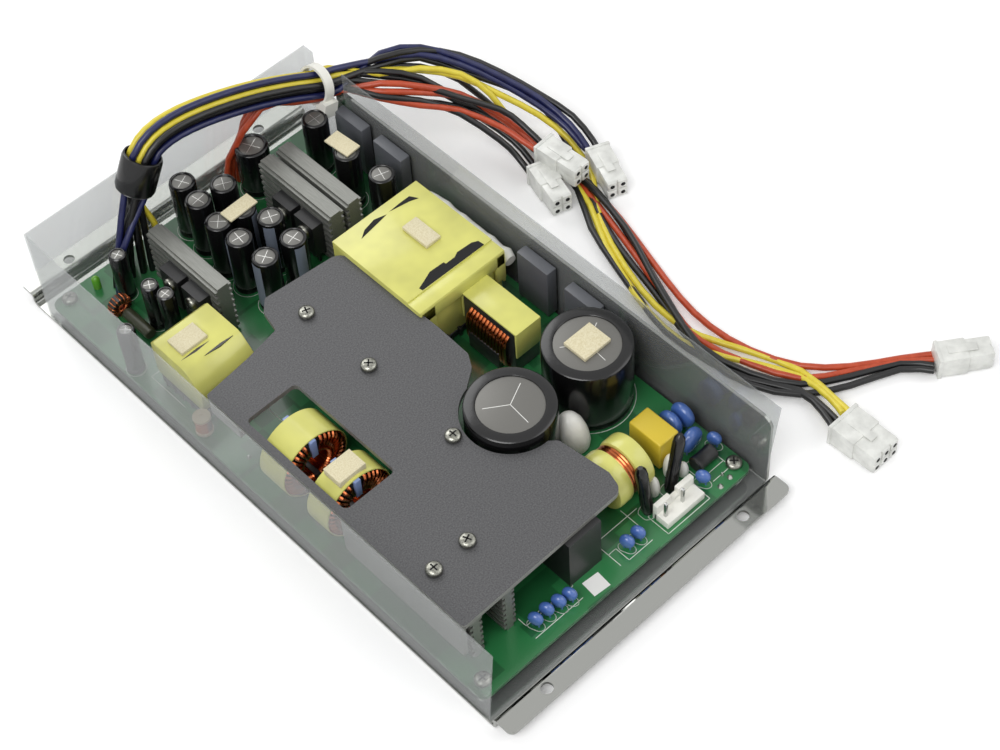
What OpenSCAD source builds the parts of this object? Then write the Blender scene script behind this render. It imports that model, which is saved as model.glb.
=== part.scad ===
// Open frame switch-mode power supply: a board full of parts on a folded sheet-metal pan,
// with a clear insulating film folded round it and a wiring harness that leaves at one corner.
// Frame: +Z up, +X towards the tall side wall, +Y towards the harness end. Origin at the middle
// of the pan's underside. Lengths are in millimetres.

/* [Chassis] */
// Width of the pan, wall included
base_w = 127; // [126:1:150]
// Length over both mounting flanges
base_l = 254; // [252:1:300]
// Thickness of the sheet metal
sheet_t = 1.2; // [0.8:0.1:2]
// Height of the side wall above the surface the pan stands on
wall_h = 34; // [28:1:50]
// Length of pan at the harness end that has no side wall
wall_gap = 32; // [28:1:50]
// Height of the top of each flange
flange_z = 5.6; // [4:0.2:9]
// Depth of each flange
flange_d = 7.2; // [6.8:0.2:14]
// Inside radius of every fold
fold_r = 0.8; // [0.5:0.1:1.5]
// Corner radius of each flange
flange_r = 2.5; // [1:0.5:3]
// Diameter of the mounting holes
hole_d = 4.2; // [3:0.1:5]
// Distance between the mounting holes of one flange
hole_span = 88.9; // [60:0.1:110]
// Distance from the end of a flange to its hole centres
hole_inset = 4.2; // [3.2:0.1:4.4]
// Width of the relief slits at the ends of the wall's fold
relief = 0.8; // [0.4:0.1:1.5]
// Radius of the wall's front top corner
wall_corner_r = 4; // [1:0.5:8]

/* [Board] */
// Thickness of the circuit board
board_t = 1.6; // [1:0.1:2.4]
// Height of the spacers under the board
spacer_h = 5.2; // [4:0.1:9]
// Outside diameter of the spacers
spacer_d = 6; // [5:0.5:7]
// Gap between the board and the left edge of the pan
board_gap_left = 1.4; // [1.2:0.1:4]
// Gap between the board and the inside of the wall
board_gap_right = 2.8; // [2.4:0.1:5]
// Gap between the board and the front edge of the pan's floor
board_gap_front = 5.4; // [3:0.1:8]
// Gap between the board and the back edge of the pan's floor
board_gap_back = 9.6; // [9:0.1:14]
// Corner radius of the board
board_r = 3; // [0.5:0.5:4]
// Diameter of the board's screws
screw_d = 3; // [2.5:0.1:3.2]
// Clearance of a screw in its hole, on the diameter
screw_play = 0.3; // [0.2:0.1:0.6]
// Diameter of a screw head
head_d = 6; // [5.5:0.1:7]
// Height of a screw head
head_h = 2.2; // [1.5:0.1:3]

/* [Insulating film] */
// Thickness of the film
film_t = 0.4; // [0.2:0.1:0.8]
// Height of the top of the film
film_h = 45.5; // [40:0.5:60]
// Gap between the film and the metal it lines
film_gap = 0.3; // [0.1:0.1:0.6]
// Distance that the top front corners of the film reach over the flange
film_lean = 3.5; // [0:0.5:6]
// Depth of the notch that the harness crosses
film_notch = 17; // [15:0.5:20]

/* [Heat spreader] */
// Thickness of the heat spreader plate
plate_t = 2; // [1:0.1:3]
// Height of the plate's underside above the board
plate_lift = 23; // [20:0.5:27]
// Width of the plate's long cut-out
slot_w = 21; // [16:0.5:23]
// Length of the plate's long cut-out
slot_l = 49; // [47:0.5:52]
// Depth of the plate's side flange
side_flange_h = 19; // [8:0.5:19]
// Diameter of the posts under the plate
post_d = 5.5; // [5:0.1:6]

/* [Heatsinks] */
// Height of the tall heatsinks
sink_h = 25; // [20:0.5:30]
// Thickness of the tall heatsinks, ribs included
sink_t = 6.8; // [5:0.1:7]
// Length of the tall heatsinks
sink_l = 38; // [30:0.5:40]
// Distance between the ribs of a heatsink
rib_pitch = 3; // [2:0.1:5]
// Depth of the ribs
rib_d = 1.1; // [0.5:0.1:1.6]
// Length of the small heatsinks under the plate
small_sink_l = 14; // [8:0.5:15]

/* [Transformers and chokes] */
// Width of the main transformer
main_w = 39; // [30:0.5:40]
// Length of the main transformer
main_l = 45; // [36:0.5:46]
// Height of the main transformer
main_h = 27.5; // [22:0.5:32]
// Width of the output inductor's core
coil_w = 18; // [14:0.5:19]
// Length of the output inductor
coil_l = 27; // [20:0.5:28]
// Height of the output inductor
coil_h = 21.5; // [16:0.5:26]
// Width of the standby transformer
aux_w = 24; // [18:0.5:25]
// Length of the standby transformer
aux_l = 26; // [22:0.5:27]
// Height of the standby transformer
aux_h = 22; // [16:0.5:25]
// Outside diameter of the toroid chokes
toroid_d = 27; // [22:0.5:28]
// Diameter of the hole through the toroid chokes
toroid_bore = 10; // [6:0.5:12]
// Outside diameter of the common-mode choke
cm_d = 20; // [16:0.5:22]

/* [Capacitors] */
// Diameter of the two bulk capacitors
bulk_d = 31; // [25:0.5:31]
// Height of the two bulk capacitors
bulk_h = 28.7; // [22:0.5:34]
// Diameter of the tall output capacitors
out_d = 10; // [8:0.5:10.4]
// Height of the tall output capacitors
out_h = 26; // [18:0.5:29]
// Diameter of the large output capacitor
big_d = 12.5; // [10:0.5:13]

/* [Harness] */
// Diameter of the wires over their insulation
wire_d = 2.4; // [1.5:0.1:2.5]
// Outside diameter of the ferrite sleeve
ferrite_d = 15.6; // [14:0.1:16]
// Length of the ferrite sleeve
ferrite_l = 14; // [8:0.5:16]
// Length of a cable connector
plug_l = 19.6; // [14:0.2:22]
// Pitch of the ways of a cable connector
plug_pitch = 4.2; // [3.6:0.1:4.4]

/* [Hidden] */
$fn = 48;

// Small overlap that makes a cut go right through
cut = 1;

// Edges of the pan, of its floor and of the board
pan_left = -base_w / 2;
pan_right = base_w / 2;
floor_half = base_l / 2 - flange_d - sheet_t;
board_left = pan_left + board_gap_left;
board_right = pan_right - sheet_t - board_gap_right;
board_front = -floor_half + board_gap_front;
board_back = floor_half - board_gap_back;
board_z = sheet_t + spacer_h;
top_z = board_z + board_t;
plate_z = top_z + plate_lift;

// Places measured inwards from the left, right, front and back edges of the board
function from_left(d) = board_left + d;
function from_right(d) = board_right - d;
function from_front(d) = board_front + d;
function from_back(d) = board_back - d;

// ---------------------------------------------------------------- small helpers

function unit(v) = v / norm(v);

// Points of the arc that rounds corner b of the path a, b, c with radius r
function rounded_corner(a, b, c, r, n = 6) =
    let(u = unit(a - b), v = unit(c - b), half = acos(u * v) / 2)
    let(reach = r / tan(half), hub = b + unit(u + v) * r / sin(half))
    let(p = b + u * reach - hub, q = b + v * reach - hub)
    [for (i = [0:n]) hub + unit(p * (n - i) + q * i) * r];

// A closed outline whose corners are rounded: each item is [x, y, radius]
function rounded_outline(c) = [
    for (i = [0:len(c) - 1])
        let(a = c[(i + len(c) - 1) % len(c)], b = c[i], d = c[(i + 1) % len(c)])
        each (b[2] > 0
            ? rounded_corner([a[0], a[1]], [b[0], b[1]], [d[0], d[1]], b[2])
            : [[b[0], b[1]]])];

// A box with rounded vertical corners, from its lowest corner
module rounded_box(size, r) {
    linear_extrude(size[2])
        polygon(rounded_outline([[0, 0, r], [size[0], 0, r], [size[0], size[1], r], [0, size[1], r]]));
}

// A bar along Y whose section, seen from the front, has rounded top corners
module loaf(w, l, h, r) {
    translate([0, l, 0]) rotate([90, 0, 0]) linear_extrude(l)
        polygon(rounded_outline([[0, 0, 0], [w, 0, 0], [w, h, r], [0, h, r]]));
}

// A can capacitor standing on the origin: sleeve with rolled shoulder and a bare top
module can(d, h) {
    lip = d * 0.13;
    rotate_extrude() polygon([[0, 0], [d / 2 - 0.4, 0], [d / 2, 0.6], [d / 2, h - 0.9],
        [d / 2 - 0.9, h], [d / 2 - lip, h], [d / 2 - lip - 0.2, h - 0.5], [0, h - 0.5]]);
}

// A pan head screw with its head's underside at z = 0 and its shank below
module pan_screw(shank) {
    rotate_extrude() polygon([[0, -shank], [screw_d / 2, -shank], [screw_d / 2, 0], [head_d / 2, 0],
        [head_d / 2, head_h * 0.45], [head_d / 2 * 0.75, head_h], [0, head_h]]);
}

// ---------------------------------------------------------------- chassis

// Section of a strip of sheet that follows a path, on the left of its direction of travel
function strip(path, t) =
    let(n = len(path) - 1)
    let(dir = [for (i = [0:n - 1]) unit(path[i + 1] - path[i])])
    let(side = [for (i = [0:n])
        let(a = dir[max(i - 1, 0)], b = dir[min(i, n - 1)])
        let(m = unit([-a[1] - b[1], a[0] + b[0]]))
        m / (m * [-b[1], b[0]])])
    concat(path, [for (i = [n:-1:0]) path[i] + side[i] * t]);

// Underside of the pan from one end to the other: flange, joggle, floor, joggle, flange
function pan_path(half, low, high) =
    let(r = fold_r + sheet_t, k = floor_half + sheet_t)
    concat([[-half, high]],
        rounded_corner([-half, high], [-k, high], [-k, low], fold_r),
        rounded_corner([-k, high], [-k, low], [k, low], r),
        rounded_corner([-k, low], [k, low], [k, high], r),
        rounded_corner([k, low], [k, high], [half, high], fold_r),
        [[half, high]]);

// The flat sheet with both flanges joggled up, as wide as the pan
module flanged_floor() {
    intersection() {
        rotate([90, 0, 90]) translate([0, 0, pan_left]) linear_extrude(base_w)
            polygon(strip(pan_path(base_l / 2, 0, flange_z - sheet_t), sheet_t));
        translate([pan_left, -base_l / 2, -cut])
            rounded_box([base_w, base_l, flange_z + 2 * cut], flange_r);
    }
}

wall_front = -floor_half + fold_r + relief;
wall_back = base_l / 2 - wall_gap;

module side_wall() {
    r = fold_r + sheet_t;
    translate([0, wall_back, 0]) rotate([90, 0, 0]) linear_extrude(wall_back - wall_front)
        polygon(strip(concat([[pan_right - r - cut, 0]],
            rounded_corner([0, 0], [pan_right, 0], [pan_right, wall_h], r),
            [[pan_right, wall_h / 2]]), sheet_t));
    translate([pan_right - sheet_t, 0, 0]) rotate([90, 0, 90]) linear_extrude(sheet_t)
        polygon(rounded_outline([[wall_front, r, 0], [wall_back, r, 0], [wall_back, wall_h, 1],
            [wall_front, wall_h, wall_corner_r]]));
}

module chassis() {
    color("silver") union() {
        difference() {
            flanged_floor();
            for (sx = [-1, 1], sy = [-1, 1])
                translate([sx * hole_span / 2, sy * (base_l / 2 - hole_inset), -cut])
                    cylinder(d = hole_d, h = flange_z + 2 * cut);
            // The wall's fold takes the edge's place, with a relief slit at each end
            translate([pan_right - fold_r - sheet_t, wall_front - relief, -cut])
                cube([fold_r + sheet_t + cut, wall_back - wall_front + 2 * relief, flange_z]);
        }
        side_wall();
    }
}

// ---------------------------------------------------------------- board and film

// Centres of the board's four screws
function board_holes() = [
    [from_left(4.6), from_front(5.2)], [from_right(3.6), from_front(5.2)],
    [from_left(5.8), from_back(2.8 + head_d / 8)], [from_right(3.6), from_back(2.8 + head_d / 8)]];

module insulating_film() {
    left = pan_left + film_gap;
    right = pan_right - sheet_t - film_gap;
    front = -floor_half + film_gap + fold_r + 0.4;
    back = board_back + 1.2;
    notch_y = base_l / 2 - wall_gap + 2;
    color("lightcyan", 0.4) difference() {
        union() {
            translate([left, front, sheet_t]) cube([right - left, back - front, film_t]);
            // Side panels, whose front edges lean over the flange
            for (x = [left, right - film_t])
                translate([x, 0, 0]) rotate([90, 0, 90]) linear_extrude(film_t)
                    polygon([[front, sheet_t], [front, flange_z + 1], [front - film_lean, film_h],
                        [back, film_h], [back, sheet_t]]);
            translate([left, back - film_t, sheet_t])
                cube([right - left, film_t, film_h - sheet_t]);
        }
        for (p = board_holes())
            translate([p[0], p[1], sheet_t - cut]) cylinder(d = spacer_d + 0.6, h = film_t + 2 * cut);
        // Notch for the harness
        translate([right - film_t - cut, notch_y - 8, film_h - film_notch])
            cube([film_t + 2 * cut, 16, film_notch + cut]);
    }
}

module circuit_board() {
    color("darkgreen") difference() {
        translate([board_left, board_front, board_z])
            rounded_box([board_right - board_left, board_back - board_front, board_t], board_r);
        for (p = board_holes())
            translate([p[0], p[1], board_z - cut])
                cylinder(d = screw_d + screw_play, h = board_t + 2 * cut);
    }
}

module board_spacers() {
    color("silver") for (p = board_holes())
        translate([p[0], p[1], sheet_t]) difference() {
            cylinder(d = spacer_d, h = spacer_h);
            translate([0, 0, 1]) cylinder(d = screw_d + screw_play, h = spacer_h);
        }
}

module board_screws() {
    color("gainsboro") for (p = board_holes())
        translate([p[0], p[1], top_z]) pan_screw(board_t + spacer_h - 2);
}

// ---------------------------------------------------------------- heat spreader

// Lowest corner of the plate's long cut-out
slot_x = from_left(7);
slot_y = from_front(68.4);
plate_left = from_left(4.3);
plate_front = from_front(11.5);
// Centres of the bulk capacitors
bulk_a = [from_left(69.8), from_front(59.3)];
bulk_b = [from_right(17), from_front(59.2)];
bulk_gap = 1.5;

function plate_outline() = rounded_outline([
    [plate_left, plate_front, 1.5], [from_left(73), plate_front + 1, 4],
    [from_left(75), from_front(20), 1.5], [from_left(72.5), from_front(40), 2.5],
    [from_left(66), from_front(46), 1], [from_left(66), from_front(76), 1],
    [from_left(73), from_front(81), 2], [from_left(76), from_front(86), 2],
    [from_left(76.6), from_front(101), 3], [from_left(75.5), from_front(149), 5],
    [from_left(44), from_front(152), 1.5], [from_left(39.8), from_front(147.6), 1.5],
    [from_left(37.9), from_front(139), 1], [from_left(23.6), from_front(136.5), 1],
    [plate_left, from_front(134.5), 1]]);

function plate_screws() = [[from_left(49.5), from_front(136.7)], [from_left(49.5), from_front(105.3)],
    [from_left(49.7), from_front(64.9)], [from_left(25.9), from_front(32.8)],
    [from_left(11.6), from_front(32.5)]];

module heat_spreader() {
    color("dimgray") difference() {
        union() {
            translate([0, 0, plate_z]) linear_extrude(plate_t) polygon(plate_outline());
            // Side flange, folded down along the left edge of the plate
            translate([plate_left, from_front(13), plate_z + plate_t - side_flange_h])
                cube([plate_t, 55, side_flange_h - plate_t / 2]);
            translate([plate_left, slot_y + slot_l + 1, plate_z - 6])
                cube([plate_t, 15, 6 + plate_t / 2]);
        }
        translate([slot_x, slot_y, plate_z - cut])
            rounded_box([slot_w, slot_l, plate_t + 2 * cut], 2);
        translate([bulk_a[0], bulk_a[1], plate_z - cut])
            cylinder(d = bulk_d + 2 * bulk_gap, h = plate_t + 2 * cut, $fn = 96);
        for (p = plate_screws())
            translate([p[0], p[1], plate_z - cut])
                cylinder(d = screw_d + screw_play, h = plate_t + 2 * cut);
    }
}

module spreader_posts() {
    color("silver") for (p = plate_screws())
        translate([p[0], p[1], top_z]) difference() {
            cylinder(d = post_d, h = plate_lift);
            translate([0, 0, plate_lift - 7]) cylinder(d = screw_d + screw_play, h = 7 + cut);
        }
}

module spreader_screws() {
    color("gainsboro") for (p = plate_screws())
        translate([p[0], p[1], plate_z + plate_t]) pan_screw(plate_t + 5);
}

// ---------------------------------------------------------------- heatsinks

// A ribbed bar along Y, centred on x = 0, standing on z = 0
module ribbed_sink(t, l, h) {
    web = t - 2 * rib_d;
    rotate([90, 0, 0]) translate([0, 0, -l]) linear_extrude(l) {
        translate([-web / 2, 0]) square([web, h]);
        for (z = [rib_pitch / 2:rib_pitch:h - rib_pitch / 2])
            translate([-t / 2, z]) square([t, rib_pitch / 2]);
    }
}

left_sink_x = from_left(37.2);
left_sink_y = from_back(56);
mid_a_x = from_right(36.2);
mid_b_x = from_right(28);
mid_sink_y = from_back(59);

module heatsink_left() {
    color("dimgray") translate([left_sink_x, left_sink_y, top_z]) ribbed_sink(sink_t, sink_l, sink_h);
}

module heatsink_mid_a() {
    color("dimgray") translate([mid_a_x, mid_sink_y, top_z]) ribbed_sink(sink_t, sink_l, sink_h);
}

module heatsink_mid_b() {
    color("dimgray") translate([mid_b_x, mid_sink_y, top_z]) ribbed_sink(sink_t, sink_l, sink_h);
}

front_sink_y = from_front(12.6);

module heatsinks_front() {
    color("dimgray") {
        translate([from_left(10), front_sink_y, top_z]) ribbed_sink(5, small_sink_l, plate_lift);
        translate([from_left(23.6), front_sink_y, top_z]) ribbed_sink(5, small_sink_l, plate_lift);
    }
}

// A flat power device: epoxy body on a metal tab, legs down, back face at x = 0
module power_device(w, h) {
    translate([-4.6, -w / 2, 5]) cube([4.6, w, h]);
    for (y = [-w / 3, 0, w / 3]) translate([-2.6, y - 0.5, 0]) cube([0.8, 1, 5]);
}

device_y = [9, 21];
device_z = 15;

module power_devices() {
    color("black") {
        for (y = device_y) {
            translate([left_sink_x - sink_t / 2, left_sink_y + y, top_z]) power_device(10, 15);
            translate([mid_a_x - sink_t / 2, mid_sink_y + y, top_z]) power_device(10, 15);
        }
    }
}

module device_screws() {
    color("gainsboro") for (y = device_y, s = [[left_sink_x, left_sink_y], [mid_a_x, mid_sink_y]])
        translate([s[0] - sink_t / 2 - 4.6, s[1] + y, top_z + device_z]) rotate([0, -90, 0])
            cylinder(d = head_d, h = head_h);
}

// ---------------------------------------------------------------- magnetics

main_x = from_right(46.5);
main_y = from_front(108);

module main_transformer_core() {
    color("darkslategray") {
        translate([main_x + 3, main_y, top_z]) cube([main_w - 6, main_l, main_h * 0.38]);
    }
}

module main_transformer_winding() {
    base = main_h * 0.38;
    color("khaki") translate([main_x, main_y, top_z + base])
        rotate([90, 0, 90]) linear_extrude(main_w)
            polygon(rounded_outline([[0, 0, 0], [main_l, 0, 0], [main_l, main_h - base, 2],
                [0, main_h - base, 6]]));
}

coil_x = from_right(31);
coil_y = from_front(82);

module output_inductor_core() {
    color("black") translate([coil_x, coil_y, top_z]) cube([coil_w, coil_l, coil_h * 0.4]);
}

module output_inductor_winding() {
    color("khaki") translate([coil_x + 3, coil_y, top_z + coil_h * 0.4])
        loaf(coil_w - 6, coil_l, coil_h * 0.6, 3);
}

aux_x = from_left(6.5);
aux_y = from_back(80);

module standby_transformer() {
    color("khaki") translate([aux_x, aux_y, top_z])
        rotate([90, 0, 90]) linear_extrude(aux_w)
            polygon(rounded_outline([[0, 0, 0], [aux_l, 0, 0], [aux_l, aux_h, 1.5],
                [7, aux_h, 1.5], [0, aux_h - 7, 1.5]]));
}

// A standing toroid with its axis along Y, centred on x = 0, front face at y = 0
module toroid(d, bore, w) {
    translate([0, w, d / 2]) rotate([90, 0, 0]) difference() {
        cylinder(d = d, h = w);
        translate([0, 0, -cut]) cylinder(d = bore, h = w + 2 * cut);
    }
}

toroid_x = from_left(16.3);
toroid_a_y = from_front(94);
toroid_a_w = 15;
toroid_b_y = from_front(72.5);
toroid_b_w = 13;

module toroid_choke_a() {
    color("khaki") translate([toroid_x, toroid_a_y, top_z]) toroid(toroid_d, toroid_bore, toroid_a_w);
}

module toroid_choke_b() {
    color("khaki") translate([toroid_x, toroid_b_y, top_z]) toroid(toroid_d, toroid_bore, toroid_b_w);
}

cm_x = from_right(45.5);
cm_y = from_front(26);
cm_w = 16;

module common_mode_choke() {
    color("khaki") translate([cm_x, cm_y, top_z + cm_d / 2]) rotate([0, 90, 0])
        cylinder(d = cm_d, h = cm_w);
}

module boxed_inductor() {
    color("black") translate([from_left(47.3), from_front(10), top_z]) cube([14, 14, plate_lift]);
}

// ---------------------------------------------------------------- capacitors

module bulk_capacitors() {
    color("black") for (p = [bulk_a, bulk_b]) translate([p[0], p[1], top_z]) can(bulk_d, bulk_h);
}

function out_caps() = [[from_left(57.1), from_back(9.1)], [from_left(66.7), from_back(20.3)],
    [from_left(55.8), from_back(19.8)], [from_left(54.3), from_back(32.7)],
    [from_left(54.7), from_back(43.6)], [from_left(55.5), from_back(56.6)],
    [from_left(68.4), from_back(44)], [from_left(67.8), from_back(57)],
    [from_left(64), from_back(34.1)], [from_right(12.1), from_back(19.9)],
    [from_right(14.7), from_back(40.3)], [from_right(13), from_back(57)]];
short_caps = [[from_left(22), from_back(16.1)], [from_left(21.5), from_back(34.7)],
    [from_left(22.9), from_back(41.7)]];
short_drop = 4;

module output_capacitors() {
    color("black") {
        for (p = out_caps()) translate([p[0], p[1], top_z]) can(out_d, out_h);
    }
}

module large_output_capacitors() {
    color("black") {
        translate([from_right(34.4), from_back(10.2), top_z]) can(big_d, out_h - short_drop);
        for (p = short_caps) translate([p[0], p[1], top_z]) can(out_d - 3.5, out_h - short_drop);
    }
}

module x_capacitor() {
    color("gold") translate([from_right(22.7), from_front(20.5), top_z]) rounded_box([8.8, 14.2, 14], 0.8);
}

box_cap_y = [187, 166, 92, 69];

module box_capacitors() {
    color("gray") for (y = box_cap_y)
        translate([from_right(3.5), from_front(y), top_z]) rounded_box([4.5, 15, 23.5], 0.6);
}

// A disc part standing on two leads, its faces towards ±X turned by a
module disc(d, t, a) {
    rotate([0, 0, a]) {
        translate([-t / 2, 0, d / 2 + 1.5]) rotate([0, 90, 0]) cylinder(d = d, h = t);
        for (y = [-d / 5, d / 5]) translate([0, y, 0]) cylinder(d = 0.7, h = 4, $fn = 16);
    }
}

module varistors() {
    color("steelblue") {
        translate([from_right(5.3), from_front(26.6), top_z]) disc(7, 3.5, 0);
        translate([from_right(11.2), from_front(28.7), top_z]) disc(7, 3.5, 0);
        translate([from_right(9.8), from_front(19.2), top_z]) disc(7, 3.5, 0);
    }
}

function disc_places() = [[from_right(2.7), from_front(14.9)], [from_right(16.3), from_front(7.2)],
    [from_right(46.5), from_front(7.2)], [from_right(51.4), from_front(7.3)],
    [from_left(43.6), from_front(6.5)], [from_left(39.4), from_front(7.1)],
    [from_left(34.7), from_front(7.7)], [from_left(29.8), from_front(7.6)]];

module disc_capacitors() {
    color("steelblue") for (p = disc_places()) translate([p[0], p[1], top_z]) disc(5, 2.6, 0);
}

module thermistors() {
    color("black") for (p = [[from_right(35.2), from_front(13.6)], [from_right(25.5), from_front(14.8)]])
        translate([p[0], p[1], top_z]) cylinder(d = 4.5, h = 19);
}

module fuse() {
    color("black") translate([from_right(15), from_front(9.5), top_z]) {
        cube([9, 6, 4.5]);
    }
}

header_x = from_right(41.5);
header_w = 20.5;

module mains_header() {
    color("white") translate([header_x, from_front(-1), top_z]) {
        cube([header_w, 6, 3]);
        translate([0, 5, 0]) cube([header_w, 2, 9]);
    }
}

module mains_header_pins() {
    color("silver") for (x = [3.5, 11.4]) translate([header_x + x, from_front(2), top_z + 3])
        translate([-0.6, -0.6, 0]) cube([1.2, 1.2, 7]);
}

module status_led() {
    color("limegreen") translate([from_left(16.3), from_back(5.7), top_z]) {
        cylinder(d = 3, h = 4);
        translate([0, 0, 4]) sphere(d = 3);
    }
}

pad_t = 1.6;

module foam_pads() {
    color("lightyellow") {
        translate([main_x + 20.3, main_y + 19, top_z + main_h]) cube([6.6, 12.5, pad_t]);
        translate([toroid_x - 5.5, toroid_b_y + 2.5, top_z + toroid_d - 1]) cube([11, 8, 3]);
        translate([aux_x + 3.5, aux_y + 12.5, top_z + aux_h]) cube([11, 8, pad_t]);
        translate([bulk_b[0] - 6, bulk_b[1] - 5, top_z + bulk_h - 0.5]) cube([12, 10, pad_t]);
        translate([from_left(64) - 6, from_back(34.1) - 4, top_z + out_h - 0.5]) cube([12, 8, pad_t]);
        translate([from_right(14.7) - 6, from_back(40.3) - 4, top_z + out_h - 0.5]) cube([12, 8, pad_t]);
    }
}

module silicone_beads() {
    color("white") {
        translate([from_left(86), from_front(61), top_z]) cylinder(d = 5, h = 20);
        translate([from_right(13), from_front(36), top_z]) sphere(d = 7);
    }
}

// ---------------------------------------------------------------- harness

// Middle of the bundle, from under the ferrite sleeve to the corner of the pan
trunk = [[-22, 102.5, 42], [-16, 102.5, 53.5], [-10, 102.5, 57.5], [-2, 102, 58.5], [8, 101.5, 57],
    [20, 101, 53.5], [33, 100, 49], [46, 98.5, 43.5], [56, 97, 39], [63, 96, 37.5]];
bundle_pitch = 2.55;

// Place of a wire in the bundle: ring 0 is the middle, ring 1 has 6 places, ring 2 has 12
function slot_at(ring, k) =
    ring == 0 ? [0, 0] : let(a = k * 60 / ring, r = bundle_pitch * (ring == 2 && k % 2 == 1 ? 1.732 : ring))
    r * [cos(a), sin(a)];

function direction(p, i) = unit(p[min(i + 1, len(p) - 1)] - p[max(i - 1, 0)]);

function beside(p, i, s) =
    let(t = direction(p, i), n = unit([0, 1, 0] - t * t[1]), b = cross(t, n))
    p[i] + n * s[0] + b * s[1];

function bundled(s, first = 0) = [for (i = [first:len(trunk) - 1]) beside(trunk, i, s)];

function curve_point(a, b, c, d, t) =
    0.5 * (2 * b + (c - a) * t + (2 * a - 5 * b + 4 * c - d) * t * t + (3 * b - a - 3 * c + d) * t * t * t);

// A smooth path through the points, with n steps between each two
function smooth(p, n) =
    let(m = len(p) - 1)
    concat([for (i = [0:m - 1], k = [0:n - 1])
        curve_point(p[max(i - 1, 0)], p[i], p[i + 1], p[min(i + 2, m)], k / n)], [p[m]]);

// Side directions along a path, each turned as little as possible from the last
function sides(p, i = 0, acc = []) =
    i == len(p) ? acc
    : let(t = direction(p, i), last = i == 0 ? [t[2] + 0.1, t[0], -t[1]] : acc[i - 1])
        sides(p, i + 1, concat(acc, [unit(last - t * (last * t))]));

module tube(path, d, around = 8) {
    n = sides(path);
    points = [for (i = [0:len(path) - 1], k = [0:around - 1])
        let(t = direction(path, i), a = k * 360 / around)
        path[i] + d / 2 * (n[i] * cos(a) + cross(t, n[i]) * sin(a))];
    last = (len(path) - 1) * around;
    polyhedron(points, concat(
        [[for (k = [0:around - 1]) k]], [[for (k = [around - 1:-1:0]) last + k]],
        [for (i = [0:len(path) - 2], k = [0:around - 1])
            let(a = i * around, j = (k + 1) % around)
            each [[a + k, a + around + k, a + around + j], [a + k, a + around + j, a + j]]]));
}

// Wires that leave the board at its back left corner
module harness_wire(foot, s, tail) {
    tube(smooth(concat(foot, bundled(s), tail), 2), wire_d);
}

// Wires that join the bundle past the ferrite sleeve
module late_wire(foot, s, tail) {
    tube(smooth(concat(foot, bundled(s, 6), tail), 2), wire_d);
}

module wire_black_1() {
    color("black") harness_wire([[-41, 98.5, 8], [-35, 100, 25]], slot_at(1, 4),
        [[71, 80, 34], [82.5, 72, 29], [92.5, 62, 22], [98.5, 47.5, 14], [101, 41.5, 8], [100, 33, 5]]);
}

module wire_black_2() {
    color("black") harness_wire([[-37, 101.5, 8], [-32, 102.5, 25]], slot_at(1, 5),
        [[74, 83.5, 31], [84, 74, 26], [96.5, 66.5, 19], [103, 52.5, 12], [104.5, 42, 8],
            [103, 32.5, 5]]);
}

module wire_black_3() {
    color("black") harness_wire([[-34, 98, 8], [-30, 100, 25]], slot_at(0, 0),
        [[75, 84, 35], [86.5, 75.5, 31], [95.5, 64.5, 26], [106, 55, 19], [109.5, 47.5, 14],
            [110, 35, 10]]);
}

module wire_red_3() {
    color("firebrick") late_wire([[22, 106, 8], [24, 106, 24]], slot_at(2, 10),
        [[71.5, 81, 32], [81.5, 71, 28], [93, 62.5, 23], [102, 50.5, 16], [104.5, 42.5, 13],
            [107, 35, 10]]);
}

module wire_red_1() {
    color("firebrick") late_wire([[15, 104, 8], [18, 104, 24]], slot_at(2, 8),
        [[73.5, 82.5, 37], [85, 74, 33], [98, 67.5, 24], [107.5, 57, 14], [112.5, 46.5, 6],
            [114, 32, 3], [113, 15.5, 2], [109.5, -3, 2], [103.5, -24, 2], [98, -44, 2],
            [96, -60, 2], [98, -77, 2], [105, -94, 2], [116.5, -106, 2], [131, -116, 2],
            [140, -123.5, 3]]);
}

module wire_red_2() {
    color("firebrick") late_wire([[18.5, 105, 8], [21, 105, 24]], slot_at(2, 9),
        [[72, 81, 35], [84, 73.5, 31], [98, 68, 22], [107.5, 57, 12], [111.5, 45.5, 5],
            [112.5, 30.5, 2], [110.5, 15.5, 2], [106, -2, 2], [100, -22.5, 2], [93, -44, 2],
            [89, -62, 2], [93.5, -81, 2], [101, -97.5, 2], [115, -107.5, 2], [130, -117, 2],
            [138, -125, 3]]);
}

module wire_black_5() {
    color("black") harness_wire([[-31, 103, 8], [-28, 104, 25]], slot_at(1, 0),
        [[77.5, 87, 37], [88, 77, 33], [97, 67, 22], [108, 57.5, 10], [113, 47, 3], [113.5, 32, 2],
            [111.5, 13, 4], [106.5, -9, 4], [100, -25, 4], [93, -41.5, 4], [86, -64.5, 4],
            [90, -84, 3], [99, -99, 2], [113.5, -109, 2], [129.5, -117.5, 2], [136, -126.5, 3]]);
}

module wire_black_6() {
    color("black") harness_wire([[-28, 99.5, 8], [-26, 101, 25]], slot_at(1, 1),
        [[77, 87, 35], [87.5, 77, 31], [97.5, 67, 20], [108, 57.5, 8], [111.5, 45.5, 2],
            [111.5, 30, 2], [114, 16.5, 2], [108, -5.5, 2], [99, -28.5, 3], [92, -45.5, 4],
            [84, -69, 4], [86.5, -87.5, 3], [96, -102, 2], [110.5, -111.5, 2], [127.5, -119, 2],
            [134.5, -128, 3]]);
}

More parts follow.
